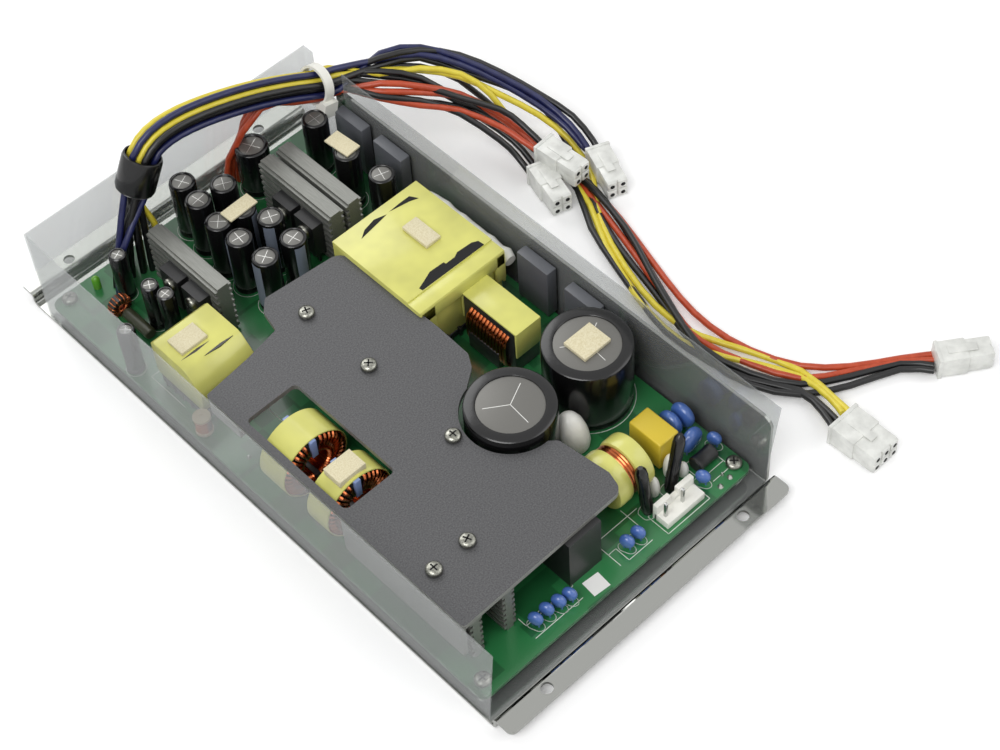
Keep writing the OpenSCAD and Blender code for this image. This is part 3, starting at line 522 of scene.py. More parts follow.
# Each wire: foot, first trunk point, place in the bundle, tail, its plug, its insulation
WIRES = {
    "wire_black_1": ([(-41, 98.5, 8), (-35, 100, 25)], 0, (1, 4),
        [(71, 80, 34), (82.5, 72, 29), (92.5, 62, 22), (98.5, 47.5, 14), (101, 41.5, 8), (100, 33, 5)],
        "plug_1", black_insulation),
    "wire_black_2": ([(-37, 101.5, 8), (-32, 102.5, 25)], 0, (1, 5),
        [(74, 83.5, 31), (84, 74, 26), (96.5, 66.5, 19), (103, 52.5, 12), (104.5, 42, 8),
         (103, 32.5, 5)], "plug_1", black_insulation),
    "wire_black_3": ([(-34, 98, 8), (-30, 100, 25)], 0, (0, 0),
        [(75, 84, 35), (86.5, 75.5, 31), (95.5, 64.5, 26), (106, 55, 19), (109.5, 47.5, 14),
         (110, 35, 10)], "plug_2", black_insulation),
    "wire_red_3": ([(22, 106, 8), (24, 106, 24)], 6, (2, 10),
        [(71.5, 81, 32), (81.5, 71, 28), (93, 62.5, 23), (102, 50.5, 16), (104.5, 42.5, 13),
         (107, 35, 10)], "plug_2", red_insulation),
    "wire_red_1": ([(15, 104, 8), (18, 104, 24)], 6, (2, 8),
        [(73.5, 82.5, 37), (85, 74, 33), (98, 67.5, 24), (107.5, 57, 14), (112.5, 46.5, 6),
         (114, 32, 3), (113, 15.5, 2), (109.5, -3, 2), (103.5, -24, 2), (98, -44, 2),
         (96, -60, 2), (98, -77, 2), (105, -94, 2), (116.5, -106, 2), (131, -116, 2),
         (140, -123.5, 3)], "plug_4", red_insulation),
    "wire_red_2": ([(18.5, 105, 8), (21, 105, 24)], 6, (2, 9),
        [(72, 81, 35), (84, 73.5, 31), (98, 68, 22), (107.5, 57, 12), (111.5, 45.5, 5),
         (112.5, 30.5, 2), (110.5, 15.5, 2), (106, -2, 2), (100, -22.5, 2), (93, -44, 2),
         (89, -62, 2), (93.5, -81, 2), (101, -97.5, 2), (115, -107.5, 2), (130, -117, 2),
         (138, -125, 3)], "plug_4", red_insulation),
    "wire_black_5": ([(-31, 103, 8), (-28, 104, 25)], 0, (1, 0),
        [(77.5, 87, 37), (88, 77, 33), (97, 67, 22), (108, 57.5, 10), (113, 47, 3), (113.5, 32, 2),
         (111.5, 13, 4), (106.5, -9, 4), (100, -25, 4), (93, -41.5, 4), (86, -64.5, 4),
         (90, -84, 3), (99, -99, 2), (113.5, -109, 2), (129.5, -117.5, 2), (136, -126.5, 3)],
        "plug_4", black_insulation),
    "wire_black_6": ([(-28, 99.5, 8), (-26, 101, 25)], 0, (1, 1),
        [(77, 87, 35), (87.5, 77, 31), (97.5, 67, 20), (108, 57.5, 8), (111.5, 45.5, 2),
         (111.5, 30, 2), (114, 16.5, 2), (108, -5.5, 2), (99, -28.5, 3), (92, -45.5, 4),
         (84, -69, 4), (86.5, -87.5, 3), (96, -102, 2), (110.5, -111.5, 2), (127.5, -119, 2),
         (134.5, -128, 3)], "plug_4", black_insulation),
    "wire_yellow_1": ([(-24, 100, 8), (-23, 101, 25)], 0, (2, 1),
        [(77, 87, 36), (90.5, 80, 34), (102, 71, 29), (107, 61, 22), (111, 53, 8), (112, 41, 3),
         (111.5, 27, 2), (106.5, 9, 2), (97, -8, 2), (88, -32, 2), (84.5, -49.5, 2),
         (86, -65, 2), (94, -80.5, 2), (101.5, -97, 2), (100.5, -111, 4), (97.5, -119, 6)],
        "plug_5", yellow_insulation),
    "wire_yellow_2": ([(-21, 98, 8), (-20, 99, 25)], 0, (1, 2),
        [(79, 89, 35), (91, 81, 32), (101.5, 71, 28), (110.5, 60, 20), (118.5, 47.5, 12),
         (122, 35, 5), (117.5, 19, 2), (107, 5.5, 2), (98.5, -10, 2), (91, -32, 2),
         (89, -48, 2), (90.5, -60.5, 2), (97.5, -77.5, 2), (103.5, -95.5, 2), (101.5, -112, 4),
         (99.5, -120.5, 6)], "plug_5", yellow_insulation),
    "wire_black_7": ([(-27, 95.5, 8), (-25, 97.5, 25)], 0, (1, 3),
        [(80.5, 90.5, 34), (93, 83, 31), (104, 74.5, 22), (113, 63.5, 6), (116.5, 50.5, 2),
         (113, 34, 2), (108.5, 17.5, 2), (99, 1, 2), (92.5, -17.5, 2), (87.5, -34.5, 2),
         (83.5, -51, 2), (84.5, -71, 2), (88.5, -86, 2), (96.5, -101, 2), (94.5, -113, 4),
         (90.5, -121.5, 6)], "plug_5", black_insulation),
    "wire_black_8": ([(-38, 97, 8), (-34, 97, 25)], 0, (2, 5),
        [(80, 90, 36), (94, 84, 34), (104, 73.5, 27), (113.5, 63, 21), (121.5, 50, 14),
         (121.5, 37, 4), (113.5, 19.5, 2), (105.5, 3, 2), (99.5, -13, 2), (94.5, -32, 2),
         (91, -45, 2), (85.5, -65.5, 2), (89, -85, 2), (97, -100.5, 2), (96, -113.5, 4),
         (93.5, -121.5, 6)], "plug_5", black_insulation),
    "wire_navy_1": ([(-43, 92, 8), (-38, 95, 25)], 0, (2, 7),
        [(83, 93, 38), (96, 85.5, 37), (106, 75.5, 31), (114.5, 63.5, 24), (122, 50.5, 16),
         (124.5, 37.5, 10), (123, 27.5, 7), (121.5, 22.5, 5)], "plug_3", navy_insulation),
    "wire_navy_2": ([(-42, 95.5, 8), (-37, 97.5, 25)], 0, (2, 3),
        [(81.5, 91.5, 37), (94, 84, 36), (104.5, 74, 30), (113.5, 63, 22), (120.5, 49, 14),
         (123, 37.5, 9), (122.5, 29, 6), (123, 23, 5)], "plug_3", navy_insulation),
    "wire_black_9": ([(-30, 97, 8), (-28, 98.5, 25)], 0, (2, 11),
        [(81, 90.5, 39), (95, 84.5, 37), (107, 77, 31), (116, 65, 24), (123.5, 52, 16),
         (127.5, 39, 11), (126, 27, 8), (125, 22, 5)], "plug_3", black_insulation),
}


# ---------------------------------------------------------------- mesh helpers, in millimetres

# Top of the circuit board
BOARD_TOP = 8
# Corners flatter than this many degrees are shaded smooth
SHARP = 35


def turned(degrees, axis):
    """Matrix of a turn about one of the axes."""
    return Matrix.Rotation(math.radians(degrees), 4, axis)


def moved(x, y, z):
    """Matrix of a move in millimetres."""
    return Matrix.Translation((x, y, z))


def circle(radius, count, x=0, y=0):
    """Points evenly round a circle."""
    angles = (2 * math.pi * k / count for k in range(count))
    return [(x + radius * math.cos(a), y + radius * math.sin(a)) for a in angles]


def keep(obj, *nodes, slot=None):
    """Makes a new object a piece of the model that stands for those frame nodes."""
    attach(obj, BODY)
    if nodes:
        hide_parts(*nodes)
    return obj


class Shape:
    """A mesh built up from simple solids in millimetres; each solid names its material."""

    def __init__(self, name, *materials):
        self.name = name
        self.materials = materials
        self.bm = bmesh.new()

    def _take(self, part, material, at=None):
        """Adds a part to the mesh at its place and with its material, and frees it."""
        for face in part.faces:
            face.material_index = material
            face.smooth = True
        if at is not None:
            part.transform(at)
        mesh = bpy.data.meshes.new("part")
        part.to_mesh(mesh)
        part.free()
        self.bm.from_mesh(mesh)
        bpy.data.meshes.remove(mesh)

    def box(self, low, high, bevel=0.3, material=0, at=None, segments=2):
        """A box between two corners, with rounded edges."""
        part = bmesh.new()
        bmesh.ops.create_cube(part, size=1)
        low, high = Vector(low), Vector(high)
        size = high - low
        part.transform(Matrix.Translation((low + high) / 2) @ Matrix.Diagonal((*size, 1)))
        if bevel:
            bmesh.ops.bevel(part, geom=part.edges[:], offset=min(bevel, min(size) * 0.45),
                            segments=segments, profile=0.5, affect="EDGES")
        self._take(part, material, at)
        return self

    def prism(self, outline, z0, z1, bevel=0, material=0, at=None):
        """An outline raised from one height to another, with its rims rounded."""
        part = bmesh.new()
        low = part.faces.new([part.verts.new((*p, z0)) for p in outline])
        part.normal_update()
        if low.normal.z > 0:
            low.normal_flip()
        solid = bmesh.ops.extrude_face_region(part, geom=[low])
        for v in (v for v in solid["geom"] if isinstance(v, bmesh.types.BMVert)):
            v.co.z = z1
        bmesh.ops.recalc_face_normals(part, faces=part.faces[:])
        if bevel:
            part.normal_update()
            rims = [e for e in part.edges if len(e.link_faces) == 2
                    and e.calc_face_angle(0) > 0.6 and abs(e.verts[0].co.z - e.verts[1].co.z) < 1e-6]
            bmesh.ops.bevel(part, geom=rims, offset=bevel, segments=2, profile=0.5, affect="EDGES")
        self._take(part, material, at)
        return self

    def lathe(self, profile, at=None, material=0, around=32):
        """profile is (radius, height) from the axis up and back to it, outside seen on the right."""
        part = bmesh.new()
        rings = []
        for r, z in profile:
            if r < 1e-6:
                rings.append([part.verts.new((0, 0, z))])
            else:
                rings.append([part.verts.new((*p, z)) for p in circle(r, around)])
        for a, b in zip(rings, rings[1:]):
            for k in range(around):
                j = (k + 1) % around
                if len(a) == 1 and len(b) == 1:
                    continue
                if len(a) == 1:
                    part.faces.new((a[0], b[j], b[k]))
                elif len(b) == 1:
                    part.faces.new((a[k], a[j], b[0]))
                else:
                    part.faces.new((a[k], a[j], b[j], b[k]))
        bmesh.ops.recalc_face_normals(part, faces=part.faces[:])
        self._take(part, material, at)
        return self

    def ring(self, path, thick, material=0, at=None, around=6):
        """A closed loop of round wire along a flat or curved path."""
        part = bmesh.new()
        count = len(path)
        rows = []
        for i, p in enumerate(path):
            t = (path[(i + 1) % count] - path[i - 1]).normalized()
            out = (p - sum(path, Vector()) / count).normalized()
            n = (out - t * out.dot(t)).normalized()
            b = t.cross(n)
            rows.append([part.verts.new(p + thick / 2 * (n * math.cos(a) + b * math.sin(a)))
                         for a in (2 * math.pi * k / around for k in range(around))])
        for i in range(count):
            a, b = rows[i], rows[(i + 1) % count]
            for k in range(around):
                j = (k + 1) % around
                part.faces.new((a[k], b[k], b[j], a[j]))
        bmesh.ops.recalc_face_normals(part, faces=part.faces[:])
        self._take(part, material, at)
        return self

    def rod(self, path, thick, material=0, around=8, at=None):
        """An open length of round wire or tube along a path, closed at both ends."""
        part = bmesh.new()
        rows = []
        side = None
        for i, p in enumerate(path):
            t = (path[min(i + 1, len(path) - 1)] - path[max(i - 1, 0)]).normalized()
            side = side if side is not None else t.orthogonal()
            side = (side - t * side.dot(t)).normalized()
            b = t.cross(side)
            r = (thick[i] if isinstance(thick, (list, tuple)) else thick) / 2
            rows.append([part.verts.new(p + r * (side * math.cos(a) + b * math.sin(a)))
                         for a in (2 * math.pi * k / around for k in range(around))])
        for a, b in zip(rows, rows[1:]):
            for k in range(around):
                j = (k + 1) % around
                part.faces.new((a[k], a[j], b[j], b[k]))
        part.faces.new(rows[0])
        part.faces.new(rows[-1][::-1])
        bmesh.ops.recalc_face_normals(part, faces=part.faces[:])
        self._take(part, material, at)
        return self

    def loose(self):
        """Closes the mesh into an object in metres that is only a pattern for repeats."""
        self.bm.transform(Matrix.Scale(MM, 4))
        mesh = bpy.data.meshes.new(self.name)
        self.bm.to_mesh(mesh)
        self.bm.free()
        return bpy.data.objects.new(self.name, mesh)

    def done(self, *nodes, slot=None):
        """Closes the mesh into an object in metres and keeps it as a piece."""
        self.bm.transform(Matrix.Scale(MM, 4))
        mesh = bpy.data.meshes.new(self.name)
        self.bm.to_mesh(mesh)
        self.bm.free()
        for material in self.materials:
            mesh.materials.append(material)
        mesh.set_sharp_from_angle(angle=math.radians(SHARP))
        obj = bpy.data.objects.new(self.name, mesh)
        bpy.context.scene.collection.objects.link(obj)
        return keep(obj, *nodes, slot=slot)


# ---------------------------------------------------------------- repeats

TREES = {}


def spread_tree():
    """Node tree that sets a part on every vertex, turned and sized by the vertex's own values."""
    if "spread" in TREES:
        return TREES["spread"]
    tree = bpy.data.node_groups.new("spread_parts", "GeometryNodeTree")
    faces = tree.interface
    faces.new_socket("Geometry", in_out="INPUT", socket_type="NodeSocketGeometry")
    faces.new_socket("Part", in_out="INPUT", socket_type="NodeSocketObject")
    faces.new_socket("Size", in_out="INPUT", socket_type="NodeSocketFloat")
    faces.new_socket("Finish", in_out="INPUT", socket_type="NodeSocketMaterial")
    faces.new_socket("Geometry", in_out="OUTPUT", socket_type="NodeSocketGeometry")
    given = add(tree, "NodeGroupInput")
    part = add(tree, "GeometryNodeObjectInfo", {}, {"Object": given.outputs["Part"]})
    turn = add(tree, "GeometryNodeInputNamedAttribute", {"data_type": "FLOAT_VECTOR", "Name": "turn"})
    size = add(tree, "GeometryNodeInputNamedAttribute", {"data_type": "FLOAT_VECTOR", "Name": "size"})
    grown = add(tree, "ShaderNodeVectorMath", {"operation": "SCALE"},
                {0: size.outputs[0], "Scale": given.outputs["Size"]})
    points = add(tree, "GeometryNodeMeshToPoints", {}, {"Mesh": given.outputs["Geometry"]})
    placed = add(tree, "GeometryNodeInstanceOnPoints", {},
                 {"Points": points.outputs[0], "Instance": part.outputs["Geometry"],
                  "Rotation": turn.outputs[0], "Scale": grown.outputs[0]})
    real = add(tree, "GeometryNodeRealizeInstances", {}, {"Geometry": placed.outputs[0]})
    done = add(tree, "GeometryNodeSetMaterial", {}, {"Geometry": real.outputs[0],
               "Material": given.outputs["Finish"]})
    add(tree, "NodeGroupOutput", {}, {"Geometry": done.outputs[0]})
    TREES["spread"] = tree
    return tree


def spread(name, part, places, material, *nodes, slot=None):
    """Repeats a Shape at places of (location, turn in degrees, size) and keeps the result."""
    base = part.loose()
    mesh = bpy.data.meshes.new(name)
    mesh.from_pydata([tuple(Vector(p[0]) * MM) for p in places], [], [])
    turn = mesh.attributes.new("turn", "FLOAT_VECTOR", "POINT")
    grow = mesh.attributes.new("size", "FLOAT_VECTOR", "POINT")
    for i, place in enumerate(places):
        angles = place[1] if len(place) > 1 else (0, 0, 0)
        turn.data[i].vector = [math.radians(a) for a in angles]
        grow.data[i].vector = place[2] if len(place) > 2 else (1, 1, 1)
    obj = bpy.data.objects.new(name, mesh)
    bpy.context.scene.collection.objects.link(obj)
    tree = spread_tree()
    modifier = obj.modifiers.new("spread", "NODES")
    modifier.node_group = tree
    sockets = {s.name: s.identifier for s in tree.interface.items_tree
               if s.item_type == "SOCKET" and s.in_out == "INPUT"}
    modifier[sockets["Part"]] = base
    modifier[sockets["Size"]] = 1.0
    modifier[sockets["Finish"]] = material
    bpy.context.view_layer.update()
    seen = obj.evaluated_get(bpy.context.evaluated_depsgraph_get())
    result = bpy.data.meshes.new_from_object(seen)
    obj.modifiers.clear()
    obj.data = result
    result.set_sharp_from_angle(angle=math.radians(SHARP))
    bpy.data.meshes.remove(mesh)
    bpy.data.objects.remove(base)
    if not result.materials:
        result.materials.append(material)
    return keep(obj, *nodes, slot=slot)


def span(node):
    """Lowest and highest corner of a frame node in millimetres."""
    low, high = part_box(node)
    return low / MM, high / MM


def solids(node):
    """Boxes of the separate solids of a frame node, in millimetres, in the mesh's own order."""
    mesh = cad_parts[node].data
    bm = bmesh.new()
    bm.from_mesh(mesh)
    bmesh.ops.remove_doubles(bm, verts=bm.verts[:], dist=1e-6)
    seen, boxes = set(), []
    for start in bm.verts:
        if start in seen:
            continue
        seen.add(start)
        heap, group = [start], []
        while heap:
            v = heap.pop()
            group.append(v.co.copy())
            for e in v.link_edges:
                other = e.other_vert(v)
                if other not in seen:
                    seen.add(other)
                    heap.append(other)
        low = Vector(min(p[i] for p in group) for i in range(3)) / MM
        high = Vector(max(p[i] for p in group) for i in range(3)) / MM
        boxes.append((low, high))
    bm.free()
    return sorted(boxes, key=lambda b: tuple(round(c, 2) for c in b[0]))


# ---------------------------------------------------------------- wound parts

def turn_of_wire(width, depth, wire):
    """One turn of round wire: a rounded rectangle in the XZ plane, centred on the origin."""
    shape = Shape("turn")
    corner = min(width, depth) * 0.3
    path = []
    for cx, cz, start in ((1, 1, 0), (-1, 1, 90), (-1, -1, 180), (1, -1, 270)):
        for k in range(4):
            a = math.radians(start + k * 30)
            path.append(Vector((cx * (width / 2 - corner) + corner * math.cos(a), 0,
                                cz * (depth / 2 - corner) + corner * math.sin(a))))
    shape.ring(path, wire)
    return shape


def build_toroids():
    """Two upright chokes: copper turns round a ring, yellow tape over the outside."""
    bore, tape, wire = 5.2, 0.35, user_mm("choke_wire")
    side_turns, first, step = 17, -74, 9.25
    for letter in "ab":
        node = f"toroid_choke_{letter}"
        low, high = span(node)
        middle = (low + high) / 2
        outer = (high.z - low.z) / 2
        wound = outer - tape
        width = high.y - low.y
        around = (wound - bore) / 2 + bore
        places = []
        for side in (0, 180):
            for k in range(side_turns):
                degrees = side + first + k * step
                a = math.radians(degrees)
                places.append(((middle.x + around * math.cos(a), middle.y,
                                middle.z + around * math.sin(a)), (0, -degrees, 0)))
        turn = turn_of_wire(wound - bore - wire, width - wire, wire)
        # Laid across the ring, so that each turn goes through the bore and round the outside
        turn.bm.transform(turned(90, "X"))
        spread(f"choke_{letter}_turns", turn, places, copper_enamel())
        ring = Shape(f"choke_{letter}_core", sintered_ferrite(), polyester_tape(), blue_strip())
        face = Matrix.Translation(middle) @ turned(90, "X")
        half, inner, rim = width / 2 - wire - 0.2, bore + wire + 0.1, wound - wire
        ring.lathe([(inner, -half), (rim, -half), (rim, half), (inner, half), (inner, -half)],
                   at=face, around=64)
        band = width / 2 - 1.4
        ring.lathe([(wound, -band), (outer, -band + 0.15), (outer, band - 0.15), (wound, band),
                    (wound, -band)], at=face, material=1, around=96)
        ring.box((middle.x - 1.2, low.y + 0.4, middle.z + 5.0),
                 (middle.x + 1.2, high.y - 0.4, high.z - tape - 0.1), 0.2, material=2)
        ring.done(node, slot="yellow_tape")


# ---------------------------------------------------------------- parts on the board

def build_main_transformer():
    """Main transformer: a dark core in a bobbin under a taped cover with slots"""
    low, high = span("main_transformer_winding")
    base = span("main_transformer_core")[0].z
    tape, core = polyester_tape(), sintered_ferrite()
    shape = Shape("main_transformer_cover", tape, core, dark_hollow())
    x0, x1, y0, y1, top = low.x, high.x, low.y, high.y, high.z
    sheet = 0.8
    # Body of tape and core below the cover's sheet
    shape.box((x0 + 0.6, y0 + 1.5, base + 0.5), (x1 - 0.6, y1 - 1.2, top - sheet), 1.0)
    shape.box((x0 + 4.5, y0 + 3, base + 0.2), (x1 - 4.5, y1 - 2, top - 4), 1.2, material=1)
    # Cover sheet, its front strip a step lower, and the slots in it, where the dark core shows, drawn
    # near-black as painted shade
    shape.box((x0, y0 + 6.5, top - sheet - 0.1), (x1, y1, top - 0.1), 0.35)
    shape.box((x0, y0 + 0.3, top - sheet - 0.9), (x1, y0 + 7.2, top - 0.7), 0.35)
    shape.prism([(x0 + 7, y0 + 8.3), (x0 + 7.2, y0 + 6.8), (x1 - 3.6, y0 + 6.6), (x1 - 3.9, y0 + 9.2),
                 (x1 - 6, y0 + 10.3), (x1 - 12.3, y0 + 10.7), (x1 - 14.4, y0 + 9.7),
                 (x1 - 18.4, y0 + 9.7), (x1 - 18.6, y0 + 10.7), (x0 + 14.3, y0 + 11),
                 (x0 + 10.2, y0 + 9.4)], top - 0.6, top - 0.02, material=2)
    for slot in ([(7.9, -6.5), (11.2, -4.3), (16.6, -3.1), (21.2, -4.5), (16.8, -5.2)],
                 [(22.8, -4.2), (27.5, -3.9), (32.3, -3.9), (34, -6.9), (30.7, -5.7)]):
        shape.prism([(x0 + u, y1 + v) for u, v in slot], top - 0.6, top - 0.02, material=2)
    # The strip's front edge folds down, with a leg at each side of the inductor
    shape.box((x0, y0, top - 7.5), (x1, y0 + 1.6, top - 0.9), 0.7)
    shape.box((x0, y0, base + 10.4), (x0 + 7, y0 + 1.6, top - 1.2), 0.6)
    shape.box((x1 - 4.5, y0, base + 12.4), (x1, y0 + 1.6, top - 1.2), 0.6)
    shape.box((x0, y0 + 0.4, base + 10.4), (x0 + 1.2, y1 - 0.6, top - 0.9), 0.4)
    shape.box((x1 - 1.2, y0 + 0.4, base + 10.4), (x1, y1 - 0.6, top - 0.9), 0.4)
    shape.box((x0, y1 - 1.2, base + 10.4), (x1, y1, top - 0.6), 0.5)
    shape.done("main_transformer_winding", slot="yellow_tape")
    lower = Shape("main_transformer_base", sintered_ferrite(), black_epoxy())
    a, b = span("main_transformer_core")
    lower.box((a.x, a.y + 1, base), (b.x, b.y - 1, base + 3), 0.5, material=1)
    lower.box((a.x + 1, a.y + 2, base + 3), (b.x - 1, b.y - 2, b.z), 0.8)
    for k in range(6):
        x = a.x + 3 + k * (b.x - a.x - 6) / 5
        lower.box((x - 0.5, a.y, base), (x + 0.5, a.y + 1.6, base + 4), 0.1, material=1)
        lower.box((x - 0.5, b.y - 1.6, base), (x + 0.5, b.y, base + 4), 0.1, material=1)
    lower.done("main_transformer_core", slot="black_ferrite")


def build_output_inductor():
    """Output inductor: taped strip over a dark core with thick turns at its side"""
    low, high = span("output_inductor_winding")
    a, b = span("output_inductor_core")
    shape = Shape("output_inductor_tape", polyester_tape())
    shape.box((low.x + 0.2, low.y, high.z - 0.9), (high.x - 0.2, high.y, high.z), 0.35)
    shape.box((low.x + 0.2, low.y, low.z), (high.x - 0.2, low.y + 0.9, high.z - 0.3), 0.35)
    shape.box((low.x + 0.2, high.y - 0.9, low.z), (high.x - 0.2, high.y, high.z - 0.3), 0.35)
    shape.done("output_inductor_winding", slot="yellow_tape")
    core = Shape("output_inductor_halves", sintered_ferrite())
    core.box((a.x + 3.2, a.y + 1, a.z), (b.x - 3.2, b.y - 1, high.z - 1.0), 0.6)
    core.box((a.x, a.y + 6, a.z + 0.5), (a.x + 5, b.y - 6, b.z), 0.5)
    core.box((b.x - 5, a.y + 6, a.z + 0.5), (b.x, b.y - 6, b.z), 0.5)
    core.done("output_inductor_core", slot="black_ferrite")
    mid = Vector(((a.x + b.x) / 2, 0, (a.z + high.z) / 2 - 1))
    coil = turn_of_wire(b.x - a.x - 1.6, high.z - a.z - 5, 1.5)
    pitch, margin = 1.6, 4
    count = int((b.y - a.y - 2 * margin) / pitch) + 1
    places = [((mid.x, a.y + margin + k * pitch, mid.z),) for k in range(count)]
    spread("output_inductor_turns", coil, places, copper_enamel())


def build_standby_transformer():
    """Standby transformer: taped block with a sloping front on a black bobbin"""
    low, high = span("standby_transformer")
    shape = Shape("standby_transformer_taped", polyester_tape(), black_epoxy(), sintered_ferrite())
    side = turned(90, "Z") @ turned(90, "X")
    length, tall = high.y - low.y, high.z - low.z
    outline = [(1.2, 5), (length - 1.2, 5), (length, 6.5), (length, tall - 1.6),
               (length - 1.6, tall), (8.6, tall), (6.6, tall - 0.6), (0.7, tall - 6.4), (0, tall - 8)]
    shape.prism(outline, 0, high.x - low.x, 0.5, at=Matrix.Translation(low) @ side)
    shape.box((low.x + 0.5, low.y + 1, low.z), (high.x - 0.5, high.y - 1, low.z + 3.4), 0.5,
              material=1)
    shape.box((low.x + 4, low.y + 2, low.z + 3.4), (high.x - 4, high.y - 2, low.z + 6), 0.3,
              material=2)
    for k in range(5):
        y = low.y + 4 + k * (length - 8) / 4
        for x in (low.x, high.x - 1):
            shape.box((x, y - 0.4, low.z), (x + 1, y + 0.4, low.z + 4.4), 0.1, material=1)
    for y, x in ((low.y + 11.5, low.x + 2), (low.y + 7.6, low.x + 9)):
        slit = [(x, y), (x + 6, y - 0.7), (x + 12, y - 0.2), (x + 7, y + 0.35)]
        shape.prism(slit, high.z - 0.5, high.z + 0.03, material=2)
    shape.done("standby_transformer", slot="yellow_tape")


def build_common_mode_choke():
    """Common-mode choke: two taped bands side by side with bare turns between them"""
    low, high = span("common_mode_choke")
    mid = (low + high) / 2
    r = (high.z - low.z) / 2
    lie = Matrix.Translation(mid) @ turned(90, "Y")
    half = (high.x - low.x) / 2
    shape = Shape("common_mode_choke_bands", polyester_tape(), sintered_ferrite())
    for s in (-1, 1):
        a, b = sorted((s * half, s * 1.6))
        shape.lathe([(2.8, a + 0.6), (r - 1.4, a), (r - 0.3, a + 0.5), (r, a + 1.4), (r, b - 0.9),
                     (r - 0.3, b), (2.8, b), (2.8, a + 0.6)], at=lie, around=64)
    shape.lathe([(0, -half + 1), (3.2, -half + 1), (3.2, half - 1), (0, half - 1)], at=lie,
                material=1)
    shape.done("common_mode_choke", slot="yellow_tape")
    turn = Shape("turn")
    turn.ring([Vector((0, *p)) for p in circle(r - 1.1, 48)], 1.1)
    spread("common_mode_choke_turns", turn, [((mid.x + d, mid.y, mid.z),) for d in (-1.1, 0, 1.1)],
           copper_enamel())


def can_profile(d, h):
    """Sleeve of a can capacitor: crimped foot, straight wall, rolled shoulder and bare inside."""
    r, lip = d / 2, d * 0.13
    return [(0, 0), (r - 0.5, 0), (r, 0.6), (r, 2.0), (r - 0.25, 2.5), (r, 3.0), (r, h - 1.2),
            (r - 0.25, h - 0.45), (r - 0.9, h), (r - lip + 0.2, h), (r - lip, h - 0.2),
            (r - lip, h - 0.6), (0, h - 0.6)]


def capacitor_set(name, cans, node, slot):
    """Sleeves, bare tops, vents and stripes of a set of (x, y, z, diameter, height)."""
    d, h = cans[0][3:]
    large = d > 20
    around = 64 if large else 40
    places = [(can[:3], (0, 0, 0 if large else 37 * k % 360)) for k, can in enumerate(cans)]
    spread(name + "_sleeves", Shape("sleeve").lathe(can_profile(d, h), around=around), places,
           shrink_sleeve(), node, slot=slot)
    reach = d / 2 - d * 0.13 - 0.05
    top = Shape("top").lathe([(0, h - 0.58), (reach, h - 0.58), (reach, h - 0.5),
                              (reach - 0.3, h - 0.42), (0, h - 0.42)], around=around)
    spread(name + "_tops", top, places, capacitor_top())
    vent = Shape("vent")
    score = 0.05 + d * 0.002
    for a in (0, 120, 240) if large else (0, 90, 180, 270):
        vent.box((0, -score, h - 0.46), (reach * 0.8, score, h - 0.40), 0, at=turned(a + 25, "Z"))
    spread(name + "_vents", vent, places, scored_metal())
    # The stripe's outline: an arc just outside the sleeve, closed through the sleeve's wall
    stripe = Shape("stripe")
    r, half, middle = d / 2 + 0.04, 0.21 if large else 0.42, 0.5 if large else 0
    angles = [middle - half + half * k / 6 for k in range(13)]
    outline = [(r * math.cos(a), r * math.sin(a)) for a in angles]
    outline += [((r - 0.3) * math.cos(a), (r - 0.3) * math.sin(a)) for a in (angles[-1], angles[0])]
    stripe.prism(outline, 3.1, h - 1.3)
    spread(name + "_stripes", stripe, places, grey_print())


# Output capacitors: middles of the tall cans, the short ones and the wide one
TALL_CANS = [(-5, 99.9), (4.6, 88.7), (-6.3, 89.2), (-7.8, 76.3), (-7.4, 65.4), (-6.6, 52.4),
             (6.3, 65), (5.7, 52), (1.9, 74.9), (47.4, 89.1), (44.8, 68.7), (46.5, 52)]
SHORT_CANS = [(-40.1, 92.9), (-40.6, 74.3), (-39.2, 67.3), (-58.4, 64.6)]
WIDE_CAN = (25.1, 98.8)
TALL_D, SHORT_D, WIDE_D = 9.7, 6.5, 12.5


def build_capacitors():
    """Can capacitors: shrink sleeves, bare scored tops and polarity stripes"""
    bulk = [((a.x + b.x) / 2, (a.y + b.y) / 2, a.z, b.x - a.x, b.z - a.z)
            for a, b in solids("bulk_capacitors")]
    capacitor_set("bulk_capacitors", bulk, "bulk_capacitors", "black_sleeve")
    low, high = span("output_capacitors")
    tall = high.z - low.z
    capacitor_set("output_capacitors", [(x, y, low.z, TALL_D, tall) for x, y in TALL_CANS],
                  "output_capacitors", "black_sleeve")
    low, high = span("large_output_capacitors")
    tall = high.z - low.z
    capacitor_set("short_output_capacitors", [(x, y, low.z, SHORT_D, tall) for x, y in SHORT_CANS],
                  "large_output_capacitors", "black_sleeve")
    capacitor_set("wide_output_capacitor", [(*WIDE_CAN, low.z, WIDE_D, tall)],
                  "large_output_capacitors", "black_sleeve")


def build_box_capacitors():
    """Box capacitors in moulded cases with a shallow rim round the resin"""
    shape = Shape("box_capacitor_cases", moulded_grey_case())
    for a, b in solids("box_capacitors"):
        shape.box(a + Vector((0, 0, 0.8)), b, 0.5)
        shape.box((a.x + 0.4, a.y + 0.6, a.z), (b.x - 0.4, a.y + 1.8, a.z + 1), 0.1)
        shape.box((a.x + 0.4, b.y - 1.8, a.z), (b.x - 0.4, b.y - 0.6, a.z + 1), 0.1)
    shape.done("box_capacitors", slot="grey_case")
    a, b = span("x_capacitor")
    yellow = Shape("x_capacitor_case", moulded_yellow_case())
    yellow.box((a.x, a.y, a.z + 0.8), b, 0.6, segments=3)
    for y in (a.y + 0.6, b.y - 1.8):
        yellow.box((a.x + 0.6, y, a.z), (b.x - 0.6, y + 1.2, a.z + 1), 0.1)
    yellow.done("x_capacitor", slot="yellow_case")


